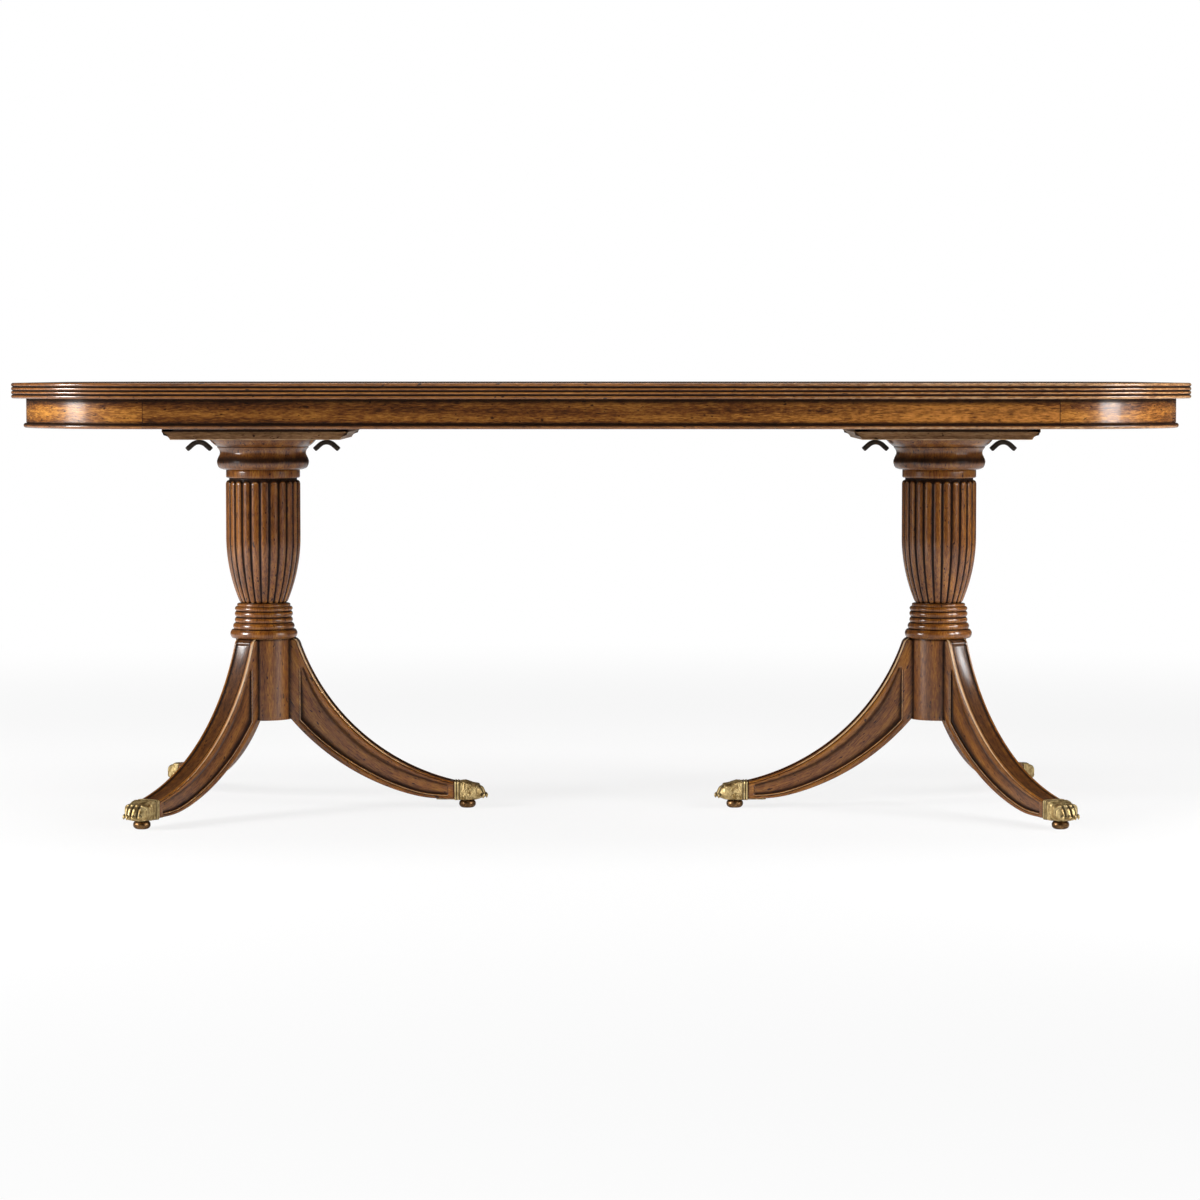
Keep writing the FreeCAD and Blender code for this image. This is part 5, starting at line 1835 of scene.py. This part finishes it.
    def drum_skin(self) -> Skin:
        """The drum, with painted shade down the lines where the legs meet it and under the rings.

        Returns:
            The skin.
        """
        low, high = self.drum[0].z, self.drum[1].z
        radius = (self.drum[1].x - self.drum[0].x) / 2
        line = Outline(10 * MM, low).line(radius, low, 3).line(radius, high, 24).line(10 * MM, high, 2)
        made = turned(line.points(1.6 * MM), 144)
        local = np.arctan2(made.points[..., 1], made.points[..., 0])
        for degrees in self.leg_angles.values():
            apart = np.abs((local - math.radians(degrees) + math.pi) % FULL_TURN - math.pi) * radius
            seam = math.asin(SabreLeg.half / radius) * radius
            made.glaze = np.maximum(made.glaze, 0.9 * bump(seam, 3 * MM, apart))
        # Painted shade under the lowest ring.
        made.glaze = np.maximum(made.glaze, 0.9 * smooth(high - 6 * MM, high, made.points[..., 2]))
        made.grain = made.grain + self.seed(4)
        return made

    def glide_skin(self) -> Skin:
        """A bun glide: flat where it stands, round at the side, turned.

        Returns:
            The skin.
        """
        line = Outline(1.5 * MM, 0).line(9 * MM, 0, 3).bow(9.5 * MM, PawCap.sole_z, 5.8 * MM, 16)
        line.line(1.5 * MM, PawCap.sole_z + 0.3 * MM, 2)
        made = turned(line.points(0.6 * MM), 64)
        # Painted shade on the top of the bun, under the paw.
        made.glaze = np.maximum(made.glaze, smooth(11 * MM, PawCap.sole_z, made.points[..., 2]))
        made.points = made.points + np.array([self.glide_reach, 0, 0])
        return made

    def build(self, shop: Workshop) -> None:
        """Build and dress every piece of the pedestal.

        Args:
            shop: Makes the pieces and holds their finishes.
        """
        wooden = {
            "bearer_board": ("bearer", self.bearer_skin()),
            "capital": ("turned_capital", self.capital_skin()),
            "column": ("reeded_column", self.column_skin()),
            "drum": ("leg_drum", self.drum_skin()),
        }
        for node, (title, skin) in wooden.items():
            self.set_up(skin)
            finish = shop.bearer_wood if node == "bearer_board" else shop.turned_walnut
            shop.piece(f"{self.name}_{title}", [skin], finish, [f"{self.name}_{node}"])
        for number, (place, degrees) in enumerate(self.leg_angles.items()):
            leg = self.set_up(SabreLeg().skin(self.seed(5 + number)), degrees)
            shop.piece(f"{self.name}_sabre_leg_{place}", [leg], shop.turned_walnut,
                       [f"{self.name}_leg_{place}"])
            paw = [self.set_up(skin, degrees) for skin in PawCap().skins()]
            shop.piece(f"{self.name}_paw_cap_{place}", paw, shop.brass,
                       [f"{self.name}_paw_{place}"])
            bun = self.set_up(self.glide_skin(), degrees)
            shop.piece(f"{self.name}_bun_glide_{place}", [bun], shop.bronze,
                       [f"{self.name}_glide_{place}"])
        for place, x in (("inner", self.stud_offset), ("outer", -self.stud_offset)):
            washer, nut = f"{self.name}_washer_{place}", f"{self.name}_wing_nut_{place}"
            made = WingNut(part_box(washer)[0].z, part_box(washer)[1].z)
            shop.piece(f"{self.name}_ring_washer_{place}", [self.set_up(made.washer(), x=x)], shop.iron,
                       [washer], washer)
            shop.piece(f"{self.name}_bent_wing_nut_{place}", [self.set_up(made.strap(), x=x)], shop.iron,
                       [nut], nut)
        shop.dress([f"{self.name}_tie_plate"], shop.steel)


@dataclass
class Studio:
    """Floor, backdrop light, softboxes and camera.

    Attributes:
        camera_at: Place of the camera.
        pitch: How far the camera looks down, in degrees.
        lens, sensor: Focal length and width of the sensor, in millimetres.
        floor_half: Half the size of the floor.
        floor_white: How white the camera sees the floor near the table.
        white_from, white_to: Distances between which the floor goes over into the white backdrop.
        ambient: Soft light from the front and from the back.
        mirrored: What reflections show of the front and of the back.
    """

    camera_at: tuple[float, float, float] = (-0.002, -6.6, 0.78)
    pitch: float = 3.53
    lens: float = 110.8
    sensor: float = 36.0
    floor_half: float = 4.6
    floor_white: float = 0.82
    white_from: float = 1.6
    white_to: float = 4.2
    ambient: tuple[float, float] = (0.09, 0.32)
    mirrored: tuple[float, float] = (0.02, 0.06)

    def camera(self) -> None:
        """Set the camera at the photograph's viewing angle."""
        data = bpy.data.cameras.new("camera")
        data.lens = self.lens
        data.sensor_width = self.sensor
        made = bpy.data.objects.new("camera", data)
        made.location = self.camera_at
        made.rotation_euler = (math.radians(90 - self.pitch), 0, 0)
        bpy.context.scene.collection.objects.link(made)
        bpy.context.scene.camera = made

    def softbox(self, name: str, place: tuple[float, float, float], aim: tuple[float, float, float],
                size: tuple[float, float], power: float, spread: float = 180.0,
                glare: bool = True) -> None:
        """Hang a softbox, or a bounce board, which leaves no glare.

        Args:
            name: Name of the light.
            place: Where its middle is.
            aim: The point that it faces.
            size: Width and height.
            power: Watts.
            spread: Degrees over which its light spreads.
            glare: Whether it is mirrored in the polish.
        """
        data = bpy.data.lights.new(name, "AREA")
        data.shape = "RECTANGLE"
        data.size, data.size_y = size
        data.energy = power
        data.spread = math.radians(spread)
        made = bpy.data.objects.new(name, data)
        made.visible_glossy = glare
        made.location = place
        made.rotation_euler = (Vector(aim) - Vector(place)).to_track_quat("-Z", "Y").to_euler()
        bpy.context.scene.collection.objects.link(made)

    @staticmethod
    def mirrors(shader: Shader) -> Wire:
        """Tell reflected and refracted rays from the others.

        Args:
            shader: The tree to wire it in.

        Returns:
            1 for such rays and 0 for the others.
        """
        kinds = ("Is Glossy Ray", "Is Transmission Ray")
        rays = [shader.node("ShaderNodeLightPath", None, None, kind) for kind in kinds]
        return shader.maths("MAXIMUM", *rays)

    def floor(self) -> None:
        """Lay a pale floor that shows white, with the table's soft shadow kept in it."""
        half = self.floor_half
        mesh = bpy.data.meshes.new("floor")
        corners = [(-half, -half, 0), (half, -half, 0), (half, half, 0), (-half, half, 0)]
        mesh.from_pydata(corners, [], [(0, 1, 2, 3)])
        shader = Shader(bpy.data.materials.new("pale_floor"))
        place = shader.node("ShaderNodeTexCoord", None, None, "Object")
        away = shader.node("ShaderNodeVectorMath", {"operation": "LENGTH"}, {0: place}, "Value")
        far_off = shader.fade(away, self.white_from, self.white_to)
        white = self.floor_white + (1 - self.floor_white) * far_off
        glow = shader.node("ShaderNodeEmission", None, {"Color": (1, 1, 1, 1), "Strength": 1.0})
        matt = shader.node("ShaderNodeBsdfDiffuse", None, {"Color": (0.8, 0.8, 0.8, 1)})
        seen = shader.node("ShaderNodeLightPath", None, None, "Is Camera Ray")
        near = shader.fade(shader.node("ShaderNodeSeparateXYZ", None, {0: place}, "Y"), -1.8, -0.1)
        share = shader.maths("MAXIMUM", seen, 0.12 * near * self.mirrors(shader)) * white
        shader.surface(shader.node("ShaderNodeMixShader", None, {0: share, 1: matt, 2: glow}))
        mesh.materials.append(shader.owner)
        made = bpy.data.objects.new("floor", mesh)
        bpy.context.scene.collection.objects.link(made)

    def surroundings(self) -> None:
        """Fill the world: soft light all round, which the camera sees as white."""
        world = bpy.data.worlds.new("studio")
        bpy.context.scene.world = world
        shader = Shader(world)
        towards = shader.node("ShaderNodeTexCoord", None, None, "Generated")
        behind = shader.fade(shader.node("ShaderNodeSeparateXYZ", None, {0: towards}, "Y"), -0.35, 0.5)
        soft = self.ambient[0] + (self.ambient[1] - self.ambient[0]) * behind
        mirrored = self.mirrored[0] + (self.mirrored[1] - self.mirrored[0]) * behind
        strength = soft + (mirrored - soft) * self.mirrors(shader)
        seen = shader.node("ShaderNodeLightPath", None, None, "Is Camera Ray")
        strength = shader.maths("MAXIMUM", strength, seen)
        back = shader.node("ShaderNodeBackground", None, {"Color": (1, 1, 1, 1), "Strength": strength})
        shader.node("ShaderNodeOutputWorld", None, {"Surface": back})

    def build(self) -> None:
        """Set everything up."""
        self.camera()
        self.floor()
        self.surroundings()
        self.softbox("left_softbox", (-3.66, -1.485, 1.45), (-0.5, 0, 0.5), (0.98, 1.36), 192)
        self.softbox("right_softbox", (1.83, -1.25, 1.03), (0.5, 0, 0.5), (0.46, 0.7), 20)
        self.softbox("far_right_softbox", (3.66, -1.4, 1.45), (0.5, 0, 0.5), (0.8, 1.2), 42)
        self.softbox("top_softbox", (0, -0.2, 3.8), (0, 0, 0.7), (3.5, 1.6), 70)
        self.softbox("bounce_board", (3.6, -1.9, 0.5), (-0.7, -0.15, 0.3), (0.8, 0.8), 1.05, 16, False)
        self.softbox("high_right_softbox", (3.6, -1.0, 2.3), (0.63, -0.1, 0.27), (0.6, 1.3), 1.2, 20)
        bpy.context.scene.view_settings.view_transform = "Standard"


def main() -> None:
    """Build the table and its studio."""
    logging.basicConfig(level=logging.INFO, format="%(message)s")
    shop = Workshop()
    TableTop.from_frame().build(shop)
    for name in ("left", "right"):
        Pedestal.from_frame(name).build(shop)
    shop.dress(["cap_screws", "plate_screws"], shop.steel)
    Studio().build()


if __name__ == "__main__":
    main()
